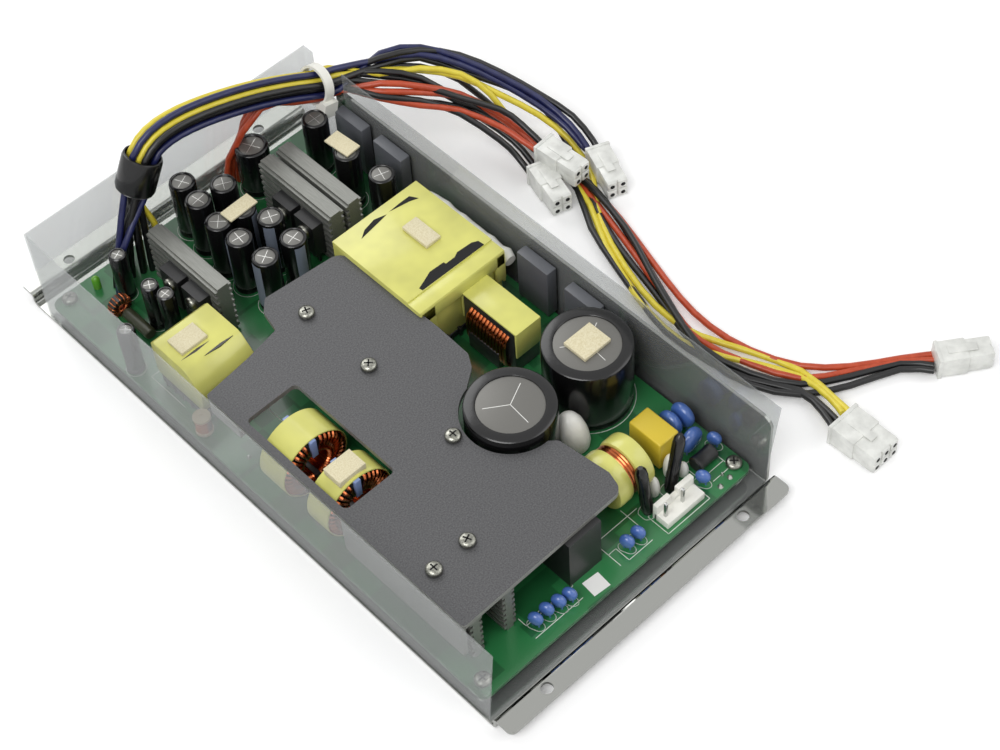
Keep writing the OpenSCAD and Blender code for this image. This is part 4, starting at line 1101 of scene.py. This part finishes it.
def disc_shape(d, t):
    """A dipped disc part: lens-shaped body with run-down necks over its two leads."""
    shape = Shape("disc")
    stand = moved(0, 0, d / 2 + 1.5) @ turned(90, "Y")
    profile = [(0, -t / 2)]
    for k in range(1, 8):
        a = math.radians(-90 + k * 180 / 8)
        profile.append((d / 2 - t / 2 * (1 - math.cos(a)) * 0.9, t / 2 * math.sin(a)))
    profile.append((0, t / 2))
    shape.lathe(profile, at=stand, around=28)
    for y in (-d / 5, d / 5):
        shape.rod([Vector((0, y, 0)), Vector((0, y, 1.4)), Vector((0, y * 0.95, 2.6)),
                   Vector((0, y * 0.8, d * 0.4))], [0.7, 0.8, 1.6, 2.0], around=8)
    return shape


# Dipped parts: x, y and turn of the large varistors and of the small discs
VARISTORS = [(55.3, -85.4, 0), (50.1, -84.8, 0), (49.9, -94.3, -84)]
SMALL_DISCS = [(56.8, -98.3, 20), (43.2, -106, 25), (13, -106, 20), (8.1, -105.9, 20),
               (-18.5, -106.7, 20), (-22.7, -106.1, 20), (-27.4, -105.5, 20), (-32.3, -105.6, 20)]


def build_disc_parts():
    """Dipped varistors and small disc capacitors on their leads"""
    board = span("varistors")[0].z
    for node, spots, d, t in (("varistors", VARISTORS, 9.6, 3.8),
                              ("disc_capacitors", SMALL_DISCS, 5.3, 3)):
        spread(node + "_dipped", disc_shape(d, t), [((x, y, board), (0, 0, a)) for x, y, a in spots],
               dipped_epoxy(), node, slot="blue_epoxy")


# Each cable connector: middle of its wire end, turn in degrees, ways side by side
PLUGS = {
    "plug_1": ((103.5, 33, 0), 163, 2), "plug_2": ((108.5, 35.5, 6), 183, 2),
    "plug_3": ((124.5, 23.5, 0), 158, 2), "plug_4": ((137, -126, 0), -125, 2),
    "plug_5": ((95, -120.5, 0), -180, 3),
}


def build_plugs():
    """Cable connectors: wire side with a rim, narrower mating side in square towers, latch"""
    pitch, rows, long, rim = 4.2, 2, 19.6, 0.6
    h = rows * pitch + 2 * rim
    for node, (spot, turn, ways) in PLUGS.items():
        place = Matrix.Translation(spot) @ turned(turn, "Z")
        shape = Shape(node + "_housing", natural_nylon(), dark_hollow())
        w = ways * pitch + 2 * rim
        shape.box((-w / 2, 0, 0), (w / 2, 1.4, h), 0.25, at=place)
        shape.box((-w / 2 + 0.3, 1.0, 0.25), (w / 2 - 0.3, long * 0.55, h - 0.25), 0.4, at=place)
        for k in range(ways):
            for row in range(rows):
                x, z = (k - (ways - 1) / 2) * pitch, rim + (row + 0.5) * pitch
                shape.box((x - 1.85, long * 0.5, z - 1.85), (x + 1.85, long, z + 1.85), 0.45, at=place)
                # Painted shade: a near-black disc at the mouth of each contact hole
                shape.lathe([(0, -0.05), (0.9, -0.05), (0.9, 0.1), (0, 0.1)], material=1, around=12,
                            at=place @ moved(x, long, z) @ turned(90, "X"))
        shape.box((-1.6, long * 0.2, h - 0.3), (1.6, long * 0.72, h), 0.1, at=place)
        shape.box((-w / 2 + 0.9, long * 0.5, 0.7), (w / 2 - 0.9, long - 0.8, h - 0.7), 0.1, at=place)
        shape.done(node, slot="clear_nylon")


# Sleeved thermistors: foot, then how far the top leans in x and y
THERMISTORS = [((22.8, -101), (-0.4, 3.4)), ((33.8, -100.2), (7, 2.6))]


def build_sleeved_parts():
    """Thermistors in black sleeves, pinched at the top, the second one leaning"""
    shape = Shape("thermistor_sleeves", shrink_sleeve())
    d, tall = 4.4, 22
    for (x, y), lean in THERMISTORS:
        path = [Vector((x + lean[0] * t, y + lean[1] * t, BOARD_TOP + tall * t))
                for t in (0, 0.08, 0.3, 0.34, 0.6, 0.85, 0.94, 1.0)]
        shape.rod(path, [d * k for k in (0.8, 1, 1.02, 0.94, 0.98, 1, 0.85, 0.4)], around=16)
    shape.done("thermistors", slot="black_sleeve")


def mound(shape, x, y, d, h, lean):
    """A soft mound of silicone that leans to one side."""
    path = [Vector((x + lean[0] * t, y + lean[1] * t, BOARD_TOP + h * t))
            for t in (0, 0.12, 0.3, 0.5, 0.7, 0.86, 0.95, 1)]
    shape.rod(path, [d * k for k in (0.86, 0.98, 1, 0.96, 0.84, 0.62, 0.38, 0.08)], around=20)


def build_silicone():
    """Silicone that holds parts down: mounds on the board and a run along the transformer"""
    shape = Shape("silicone_mounds", white_silicone())
    for x, y, d, h, lean in ((25.2, -65.6, 11, 16, (-1.5, 2.6)), (30.5, -92.4, 5, 8.5, (1, 1)),
                             (29.2, -97.2, 4.4, 8, (0.4, 0.6)), (38.6, -96, 5, 9.5, (0.5, 1)),
                             (41.5, -98.6, 4, 6, (0, 0))):
        mound(shape, x, y, d, h, lean)
    right = span("main_transformer_winding")[1].x
    level = span("silicone_beads")[0].z + 21
    run = [Vector((right + 3.1 + 0.25 * math.sin(k * 1.7), -4 + k * 2.8, level + 0.3 * math.sin(k * 2.3)))
           for k in range(16)]
    thick = [4.5] + [6 + 0.35 * math.sin(k * 2.1) for k in range(1, 15)] + [4.5]
    shape.rod(run, thick, around=18)
    shape.done("silicone_beads", slot="white_silicone")


def build_header():
    """Mains header: tray with a notched back wall and two square pins"""
    shape = Shape("mains_header_body", white_nylon())
    x0, y0, z0, wide = 22.3, -110.4, BOARD_TOP, 17.2
    shape.box((x0, y0, z0), (x0 + wide, y0 + 6.2, z0 + 3.2), 0.25)
    shape.box((x0, y0 + 5, z0), (x0 + 6.6, y0 + 7, z0 + 7.4), 0.3)
    shape.box((x0 + 10, y0 + 5, z0), (x0 + wide, y0 + 7, z0 + 7.4), 0.3)
    shape.box((x0 + 6, y0 + 5, z0), (x0 + 10.6, y0 + 7, z0 + 4.8), 0.3)
    shape.done("mains_header", slot="white_nylon")
    pins = Shape("mains_header_posts", tinned_lead())
    for x in (x0 + 1.9, x0 + 9.8):
        pins.box((x - 0.57, y0 + 2.4, z0 + 1), (x + 0.57, y0 + 3.54, z0 + 10), 0.25)
    pins.done("mains_header_pins", slot="bright_steel")


def build_fuse():
    """Fuse in a black sleeve lying on the board, with its two leads"""
    shape = Shape("fuse_body", black_epoxy(), tinned_lead())
    x0, y, r, long = 44.9, -100.6, 2.9, 8.8
    lie = moved(x0, y, BOARD_TOP + 0.1 + r) @ turned(90, "Y")
    shape.lathe([(0, 0), (r - 0.4, 0), (r, 0.4), (r, 1.4), (r - 0.15, 1.7), (r - 0.15, long - 1.7),
                 (r, long - 1.4), (r, long - 0.4), (r - 0.4, long), (0, long)], at=lie)
    for x in (x0 + 0.6, x0 + long - 0.6):
        shape.rod([Vector((x, y, BOARD_TOP)), Vector((x, y, BOARD_TOP + 1.5))], 0.8, material=1)
    shape.done("fuse", slot="black_epoxy")


def build_ferrite():
    """Ferrite sleeve round the harness: a black barrel with rounded rims"""
    shape = Shape("ferrite_barrel", shrink_sleeve())
    r, bore, half = 7.25, 6.4, 6.9
    lean = moved(-19, 102.5, 47.75) @ turned(28, "Y")
    shape.lathe([(bore, -half + 0.6), (bore + 0.4, -half), (r - 0.9, -half), (r - 0.3, -half + 0.4),
                 (r, -half + 1.3), (r, half - 1.3), (r - 0.3, half - 0.4), (r - 0.9, half),
                 (bore + 0.4, half), (bore, half - 0.6), (bore, -half + 0.6)], at=lean, around=64)
    shape.done("ferrite_sleeve", slot="black_ferrite")


def build_pads():
    """Cream foam pads stuck on the tops of the tall parts"""
    shape = Shape("foam_pad_set", cream_foam())
    # The pads at the harness end lie on the cans' rims, so they are set half a millimetre higher
    boxes = solids("foam_pads")
    front = [b for b in boxes if (b[0].y + b[1].y) / 2 < 60]
    rim = [b for b in boxes if b not in front][0][0].z + 0.52
    for low, high in front:
        shape.box(low, high, 0.25)
    for x, y, wide, long, turn in ((0.9, 75.2, 12.4, 5.8, 2), (45.8, 72, 6.6, 11.6, 4)):
        place = moved(x, y, rim) @ turned(turn, "Z")
        shape.box((-wide / 2, -long / 2, 0), (wide / 2, long / 2, 0.9), 0.25, at=place)
    shape.done("foam_pads", slot="cream_foam")


def build_small_chokes():
    """Small ring choke with turns, sleeved rod choke and drum choke near the left edge"""
    x, y, z, reach = -46.8, 88, BOARD_TOP + 4, 2.8
    shape = Shape("small_ring_choke", sintered_ferrite())
    shape.lathe([(1.6, -1.6), (4, -1.6), (4, 1.6), (1.6, 1.6), (1.6, -1.6)],
                at=moved(x, y, z) @ turned(90, "X"), around=32)
    turn = turn_of_wire(2.6, 3.6, 0.5)
    turn.bm.transform(turned(90, "X"))
    places = [((x + reach * math.cos(a), y, z + reach * math.sin(a)), (0, -math.degrees(a), 0))
              for a in (2 * math.pi * k / 16 for k in range(16))]
    spread("small_ring_choke_turns", turn, places, copper_enamel())
    shape.done(slot="black_ferrite")
    rod = Shape("rod_choke", olive_sleeve())
    rod.lathe([(0, 0), (1.9, 0), (2.2, 0.4), (2.2, 13.6), (1.9, 14), (0, 14)],
              at=moved(-46.4, 71, BOARD_TOP + 2.2) @ turned(-90, "X"))
    rod.done(slot="black_sleeve")
    drum = Shape("drum_choke", beige_bobbin(), copper_enamel())
    stand = moved(-58.2, 27.4, BOARD_TOP)
    drum.lathe([(0, 0), (3.1, 0), (3.1, 1), (2.2, 1.2), (2.2, 6.8), (3.1, 7), (3.1, 8), (1, 8), (1, 7.6),
                (0, 7.6)], at=stand)
    for k in range(7):
        drum.ring([Vector((*p, 1.6 + k * 0.8)) for p in circle(2.5, 24)], 0.75, material=1, at=stand)
    drum.done(slot="black_ferrite")


def stroke(shape, points, wide, closed=False):
    """A printed line on the board along the points."""
    ends = points + [points[0]] if closed else points
    for (x0, y0), (x1, y1) in zip(ends, ends[1:]):
        long = math.hypot(x1 - x0, y1 - y0)
        place = moved(x0, y0, BOARD_TOP) @ turned(math.degrees(math.atan2(y1 - y0, x1 - x0)), "Z")
        shape.box((-wide / 2, -wide / 2, -0.01), (long + wide / 2, wide / 2, 0.04), 0, at=place)


def loop_of(x, y, a, b, turn=0):
    """Outline of a long hole: two straight sides closed by half circles."""
    points = []
    c, d = math.cos(math.radians(turn)), math.sin(math.radians(turn))
    for p, q in circle(1, 20):
        u, v = a * math.copysign(min(abs(p) * 1.15, 1), p), b * q
        points.append((x + u * c - v * d, y + u * d + v * c))
    return points


# Printed outlines round parts, and open lines between them
OUTLINES = [[(21.3, -111.6), (40.6, -111.6), (40.6, -102.4), (21.3, -102.4)],
            [(43.8, -104.6), (54.6, -104.6), (54.6, -96.8), (43.8, -96.8)]]
LINES = [[(16.8, -103), (16.8, -97.5), (2, -97.5), (2, -109)],
         [(2, -103.5), (5.4, -103.5), (5.4, -109.5), (16, -109.5)],
         [(16.8, -94.5), (16.8, -97.5), (21, -97.5)],
         [(-14, -98.5), (-14, -103.6), (-34.6, -103.6), (-34.6, -100)],
         [(-35.5, -108.9), (-15, -108.9)], [(46.3, -107.9), (54.6, -107.9), (54.6, -104.6)],
         [(-37.5, 4), (-37.5, 30), (-50, 30)], [(-57, 40), (-57, 58), (-35, 58)],
         [(30, 78), (30, 90), (38, 90)]]
# Joints of solder on the open board: x, y and radius
JOINTS = [(51.3, -110.6, 1.1), (46.4, -110.9, 1.1), (50.2, -108.2, 0.7), (-29.3, 31.5, 0.9),
          (-38, 58.5, 0.9), (-55, 8, 0.9), (-55.6, -28, 0.9), (-55.4, -60, 0.9)]


def build_legend():
    """White legend lines round the parts, joints of solder and a bare label"""
    shape = Shape("legend_lines", white_print())
    thin, wide = 0.22, 0.25
    for x, y, a in SMALL_DISCS:
        stroke(shape, loop_of(x, y, 1.7, 3.1, a), thin, True)
    for (x, y), _ in THERMISTORS:
        stroke(shape, loop_of(x, y, 3, 3), thin, True)
    for cans, r in ((TALL_CANS, 5.6), (SHORT_CANS, 3.55), ([WIDE_CAN], 6.8)):
        for x, y in cans:
            stroke(shape, circle(r, 32, x, y), thin, True)
    for a, b in solids("bulk_capacitors"):
        m, r = (a + b) / 2, (b.x - a.x) / 2 + 0.7
        stroke(shape, circle(r, 48, m.x, m.y), wide, True)
    for points in OUTLINES:
        stroke(shape, points, wide, True)
    for points in LINES:
        stroke(shape, points, wide)
    shape.done()
    joints = Shape("solder_joints", solder())
    for x, y, r in JOINTS:
        joints.lathe([(0, 0), (r, 0), (r * 0.92, 0.2), (r * 0.5, 0.7), (0.35, 1.1), (0, 1.15)],
                     at=moved(x, y, BOARD_TOP - 0.02), around=16)
    joints.done(slot="bright_steel")
    label = Shape("bare_label", paper_label())
    label.box((-3.3, -3.1, 0.02), (3.3, 3.1, 0.12), 0,
              at=moved(-8.4, -108.4, BOARD_TOP) @ turned(-5, "Z"))
    label.done()


def build_screws():
    """Pan head screws with cross recesses, on the board, the plate and the heatsinks"""
    head = Shape("screw")
    r, h = 2.8, 1.7
    head.lathe([(0, -1), (1.5, -1), (1.5, 0), (r, 0), (r, h * 0.4), (r * 0.93, h * 0.66),
                (r * 0.72, h * 0.88), (r * 0.4, h), (0, h)], around=32)
    # The cross recess is drawn as a near-black sheet of painted shade in the top of the head
    slot = Shape("recess")
    for a in (0, 90):
        slot.box((-1.5, -0.28, h - 0.35), (1.5, 0.28, h + 0.02), 0, at=turned(a, "Z"))
    flat = [(((a.x + b.x) / 2, (a.y + b.y) / 2, b.z - h), (0, 0, 23 * k))
            for node in ("board_screws", "spreader_screws") for k, (a, b) in enumerate(solids(node))]
    side = [((b.x, (a.y + b.y) / 2, (a.z + b.z) / 2), (0, -90, 0))
            for a, b in solids("device_screws")]
    spread("screw_heads", head, flat + side, steel_screw(), "board_screws", "spreader_screws",
           "device_screws", slot="bright_steel")
    spread("screw_recesses", slot, flat + side, dark_hollow())


def finish_frame_nodes():
    """Gives every frame node that stays its finish."""
    for node, material in NODE_FINISH.items():
        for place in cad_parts[node].material_slots:
            place.material = material()


def build_wires():
    """Each wire is one open curve along its route, with round insulation."""
    for name, (foot, first, place, tail, plug, insulation_of) in WIRES.items():
        path = route(foot, first, place, tail)
        curve = bpy.data.curves.new(name + "_line", "CURVE")
        curve.dimensions = "3D"
        spline = curve.splines.new("POLY")
        spline.points.add(len(path) - 1)
        for point, p in zip(spline.points, path):
            point.co = (*(p * MM), 1)
        curve.bevel_depth = user_mm("wire") / 2 * MM
        curve.bevel_resolution = 3
        curve.use_fill_caps = True
        curve.materials.append(insulation_of())
        wire = bpy.data.objects.new(name + "_line", curve)
        bpy.context.scene.collection.objects.link(wire)
        keep(wire, name, slot=insulation_of.__name__)
        user_mm("wire") * MM


def build_stage():
    """Pale floor, plain sky, soft lamps and the camera."""
    scene = bpy.context.scene
    scene.view_settings.view_transform = "Standard"
    mesh = bpy.data.meshes.new("floor")
    reach, drop = 3.0, -0.0002
    mesh.from_pydata([(-reach, -reach, drop), (reach, -reach, drop), (reach, reach, drop),
                      (-reach, reach, drop)], [], [(0, 1, 2, 3)])
    floor = bpy.data.objects.new("floor", mesh)
    mesh.materials.append(pale_floor())
    scene.collection.objects.link(floor)
    world = bpy.data.worlds.new("studio")
    scene.world = world
    world.use_nodes = True
    tree = world.node_tree
    tree.nodes.clear()
    rays = add(tree, "ShaderNodeLightPath")
    seen = add(tree, "ShaderNodeMath", {"operation": "MAXIMUM"},
               {0: rays.outputs["Is Camera Ray"], 1: rays.outputs["Is Glossy Ray"]})
    seen = add(tree, "ShaderNodeMath", {"operation": "MAXIMUM"},
               {0: seen.outputs[0], 1: rays.outputs["Is Transmission Ray"]})
    plain = add(tree, "ShaderNodeBackground", {"Color": colour("#FFFFFF"), "Strength": 0.36})
    white = add(tree, "ShaderNodeBackground", {"Color": colour("#FFFFFF"), "Strength": 1.0})
    mix = add(tree, "ShaderNodeMixShader", {}, {0: seen.outputs[0], 1: plain.outputs[0],
              2: white.outputs[0]})
    add(tree, "ShaderNodeOutputWorld", {}, {"Surface": mix.outputs[0]})
    for name, place, size, watts in (("key", (-0.9, -0.3, 1.3), 0.9, 14),
                                     ("fill", (0.9, -0.9, 1.1), 1.2, 6.5),
                                     ("back", (0.2, 1.2, 1.0), 1.0, 7.5)):
        lamp = bpy.data.lights.new(name, "AREA")
        lamp.size = size
        lamp.energy = watts
        holder = bpy.data.objects.new(name, lamp)
        holder.location = place
        holder.rotation_euler = (-Vector(place)).to_track_quat("-Z", "Y").to_euler()
        scene.collection.objects.link(holder)
    build_camera()


def build_camera():
    """A long lens from the front left, above, turned a little about its own axis."""
    azimuth, height, roll = (math.radians(a) for a in (-130.335, 53.172, -4.152))
    away = Vector((math.cos(azimuth) * math.cos(height), math.sin(azimuth) * math.cos(height),
                   math.sin(height)))
    right = (-away).cross(Vector((0, 0, 1))).normalized()
    up = right.cross(-away)
    x = right * math.cos(roll) + up * math.sin(roll)
    y = up * math.cos(roll) - right * math.sin(roll)
    lens = bpy.data.cameras.new("camera")
    lens.lens = 78.4
    lens.sensor_width = 36
    lens.clip_start = 0.01
    camera = bpy.data.objects.new("camera", lens)
    camera.matrix_world = Matrix.Translation((-0.26001, -0.36517, 0.60074)) @ Matrix(
        (x, y, away)).transposed().to_4x4()
    bpy.context.scene.collection.objects.link(camera)
    bpy.context.scene.camera = camera


# ---------------------------------------------------------------- add-on

class SUPPLY_OT_stage(bpy.types.Operator):
    """Sets the floor, the lamps and the camera"""
    bl_idname = "supply.stage"
    bl_label = "Stage"

    def execute(self, context):
        build_stage()
        return {"FINISHED"}


class SUPPLY_OT_finishes(bpy.types.Operator):
    """Gives the frame's own parts their finishes"""
    bl_idname = "supply.finishes"
    bl_label = "Finishes"

    def execute(self, context):
        finish_frame_nodes()
        return {"FINISHED"}


class SUPPLY_OT_wires(bpy.types.Operator):
    """Lays the harness wires along their routes"""
    bl_idname = "supply.wires"
    bl_label = "Wires"

    def execute(self, context):
        build_wires()
        return {"FINISHED"}


class SUPPLY_OT_main_transformer(bpy.types.Operator):
    """Main transformer: a dark core in a bobbin under a taped cover with slots"""
    bl_idname = "supply.main_transformer"
    bl_label = "Main transformer"

    def execute(self, context):
        build_main_transformer()
        return {"FINISHED"}


class SUPPLY_OT_output_inductor(bpy.types.Operator):
    """Output inductor: taped strip over a dark core with thick turns at its side"""
    bl_idname = "supply.output_inductor"
    bl_label = "Output inductor"

    def execute(self, context):
        build_output_inductor()
        return {"FINISHED"}


class SUPPLY_OT_standby_transformer(bpy.types.Operator):
    """Standby transformer: taped block with a sloping front on a black bobbin"""
    bl_idname = "supply.standby_transformer"
    bl_label = "Standby transformer"

    def execute(self, context):
        build_standby_transformer()
        return {"FINISHED"}


class SUPPLY_OT_common_mode_choke(bpy.types.Operator):
    """Common-mode choke: two taped bands side by side with bare turns between them"""
    bl_idname = "supply.common_mode_choke"
    bl_label = "Common mode choke"

    def execute(self, context):
        build_common_mode_choke()
        return {"FINISHED"}


class SUPPLY_OT_capacitors(bpy.types.Operator):
    """Can capacitors: shrink sleeves, bare scored tops and polarity stripes"""
    bl_idname = "supply.capacitors"
    bl_label = "Capacitors"

    def execute(self, context):
        build_capacitors()
        return {"FINISHED"}


class SUPPLY_OT_box_capacitors(bpy.types.Operator):
    """Box capacitors in moulded cases with a shallow rim round the resin"""
    bl_idname = "supply.box_capacitors"
    bl_label = "Box capacitors"

    def execute(self, context):
        build_box_capacitors()
        return {"FINISHED"}


class SUPPLY_OT_disc_parts(bpy.types.Operator):
    """Dipped varistors and small disc capacitors on their leads"""
    bl_idname = "supply.disc_parts"
    bl_label = "Disc parts"

    def execute(self, context):
        build_disc_parts()
        return {"FINISHED"}


class SUPPLY_OT_plugs(bpy.types.Operator):
    """Cable connectors: wire side with a rim, narrower mating side in square towers, latch"""
    bl_idname = "supply.plugs"
    bl_label = "Plugs"

    def execute(self, context):
        build_plugs()
        return {"FINISHED"}


class SUPPLY_OT_sleeved_parts(bpy.types.Operator):
    """Thermistors in black sleeves, pinched at the top"""
    bl_idname = "supply.sleeved_parts"
    bl_label = "Sleeved parts"

    def execute(self, context):
        build_sleeved_parts()
        return {"FINISHED"}


class SUPPLY_OT_screws(bpy.types.Operator):
    """Pan head screws with cross recesses, on the board, the plate and the heatsinks"""
    bl_idname = "supply.screws"
    bl_label = "Screws"

    def execute(self, context):
        build_screws()
        return {"FINISHED"}


class SUPPLY_OT_toroids(bpy.types.Operator):
    """Two upright chokes: copper turns round a ring, yellow tape over the outside"""
    bl_idname = "supply.toroids"
    bl_label = "Toroids"

    def execute(self, context):
        build_toroids()
        return {"FINISHED"}


class SUPPLY_OT_silicone(bpy.types.Operator):
    """Silicone that holds parts down: mounds on the board and a run along the transformer"""
    bl_idname = "supply.silicone"
    bl_label = "Silicone"

    def execute(self, context):
        build_silicone()
        return {"FINISHED"}


class SUPPLY_OT_header(bpy.types.Operator):
    """Mains header: tray with a notched back wall and two square pins"""
    bl_idname = "supply.header"
    bl_label = "Mains header"

    def execute(self, context):
        build_header()
        return {"FINISHED"}


class SUPPLY_OT_fuse(bpy.types.Operator):
    """Fuse in a black sleeve lying on the board, with its two leads"""
    bl_idname = "supply.fuse"
    bl_label = "Fuse"

    def execute(self, context):
        build_fuse()
        return {"FINISHED"}


class SUPPLY_OT_small_chokes(bpy.types.Operator):
    """Small ring choke, sleeved rod choke and drum choke near the left edge"""
    bl_idname = "supply.small_chokes"
    bl_label = "Small chokes"

    def execute(self, context):
        build_small_chokes()
        return {"FINISHED"}


class SUPPLY_OT_legend(bpy.types.Operator):
    """White legend lines round the parts, joints of solder and a bare label"""
    bl_idname = "supply.legend"
    bl_label = "Legend and joints"

    def execute(self, context):
        build_legend()
        return {"FINISHED"}


class SUPPLY_OT_ferrite(bpy.types.Operator):
    """Ferrite sleeve round the harness: a black barrel with rounded rims"""
    bl_idname = "supply.ferrite"
    bl_label = "Ferrite sleeve"

    def execute(self, context):
        build_ferrite()
        return {"FINISHED"}


class SUPPLY_OT_pads(bpy.types.Operator):
    """Cream foam pads stuck on the tops of the tall parts"""
    bl_idname = "supply.pads"
    bl_label = "Foam pads"

    def execute(self, context):
        build_pads()
        return {"FINISHED"}


class SupplySizes(bpy.types.PropertyGroup):
    """Sizes that the user may change"""
    wire: FloatProperty(name="Wire diameter", description="Diameter of a harness wire with its insulation",
                        default=WIRE_D * MM, min=0.001, max=0.003, subtype="DISTANCE", unit="LENGTH")
    choke_wire: FloatProperty(name="Choke wire", description="Diameter of the chokes' copper wire",
                              default=1.3 * MM, min=0.0008, max=0.0016, subtype="DISTANCE",
                              unit="LENGTH")


class SupplyColours(bpy.types.PropertyGroup):
    """Colours that the user may change"""
    tape: FloatVectorProperty(name="Tape", description="Colour of the polyester tape on wound parts",
                              default=colour("#D8D674")[:3], subtype="COLOR", min=0, max=1)
    dip: FloatVectorProperty(name="Dipped parts", description="Colour of varistors and disc capacitors",
                             default=colour("#4A6DB4")[:3], subtype="COLOR", min=0, max=1)


STEPS = (SUPPLY_OT_stage, SUPPLY_OT_wires, SUPPLY_OT_finishes, SUPPLY_OT_main_transformer,
         SUPPLY_OT_output_inductor, SUPPLY_OT_standby_transformer, SUPPLY_OT_common_mode_choke,
         SUPPLY_OT_capacitors, SUPPLY_OT_box_capacitors, SUPPLY_OT_disc_parts, SUPPLY_OT_plugs,
         SUPPLY_OT_sleeved_parts, SUPPLY_OT_screws, SUPPLY_OT_toroids, SUPPLY_OT_silicone,
         SUPPLY_OT_header, SUPPLY_OT_fuse, SUPPLY_OT_small_chokes, SUPPLY_OT_legend,
         SUPPLY_OT_ferrite, SUPPLY_OT_pads)


class SUPPLY_PT_panel(bpy.types.Panel):
    """Sizes, colours and building steps of the power supply"""
    bl_idname = "SUPPLY_PT_panel"
    bl_label = "Open frame power supply"
    bl_space_type = "VIEW_3D"
    bl_region_type = "UI"
    bl_category = "Power Supply"

    def draw(self, context):
        for group in (context.scene.supply_sizes, context.scene.supply_colours):
            for name in group.__annotations__:
                self.layout.prop(group, name)
        for step in STEPS:
            self.layout.operator(step.bl_idname)


CLASSES = (SupplySizes, SupplyColours) + STEPS + (SUPPLY_PT_panel,)


def register():
    """Registers the classes and gives the scene its sizes and colours."""
    for item in CLASSES:
        bpy.utils.register_class(item)
    bpy.types.Scene.supply_sizes = PointerProperty(type=SupplySizes)
    bpy.types.Scene.supply_colours = PointerProperty(type=SupplyColours)


def unregister():
    """Takes back what register did."""
    del bpy.types.Scene.supply_sizes
    del bpy.types.Scene.supply_colours
    for item in reversed(CLASSES):
        bpy.utils.unregister_class(item)


def main():
    """Builds every piece in order."""
    register()
    for step in STEPS:
        getattr(bpy.ops.supply, step.bl_idname.partition(".")[2])()


if __name__ == "__main__":
    main()
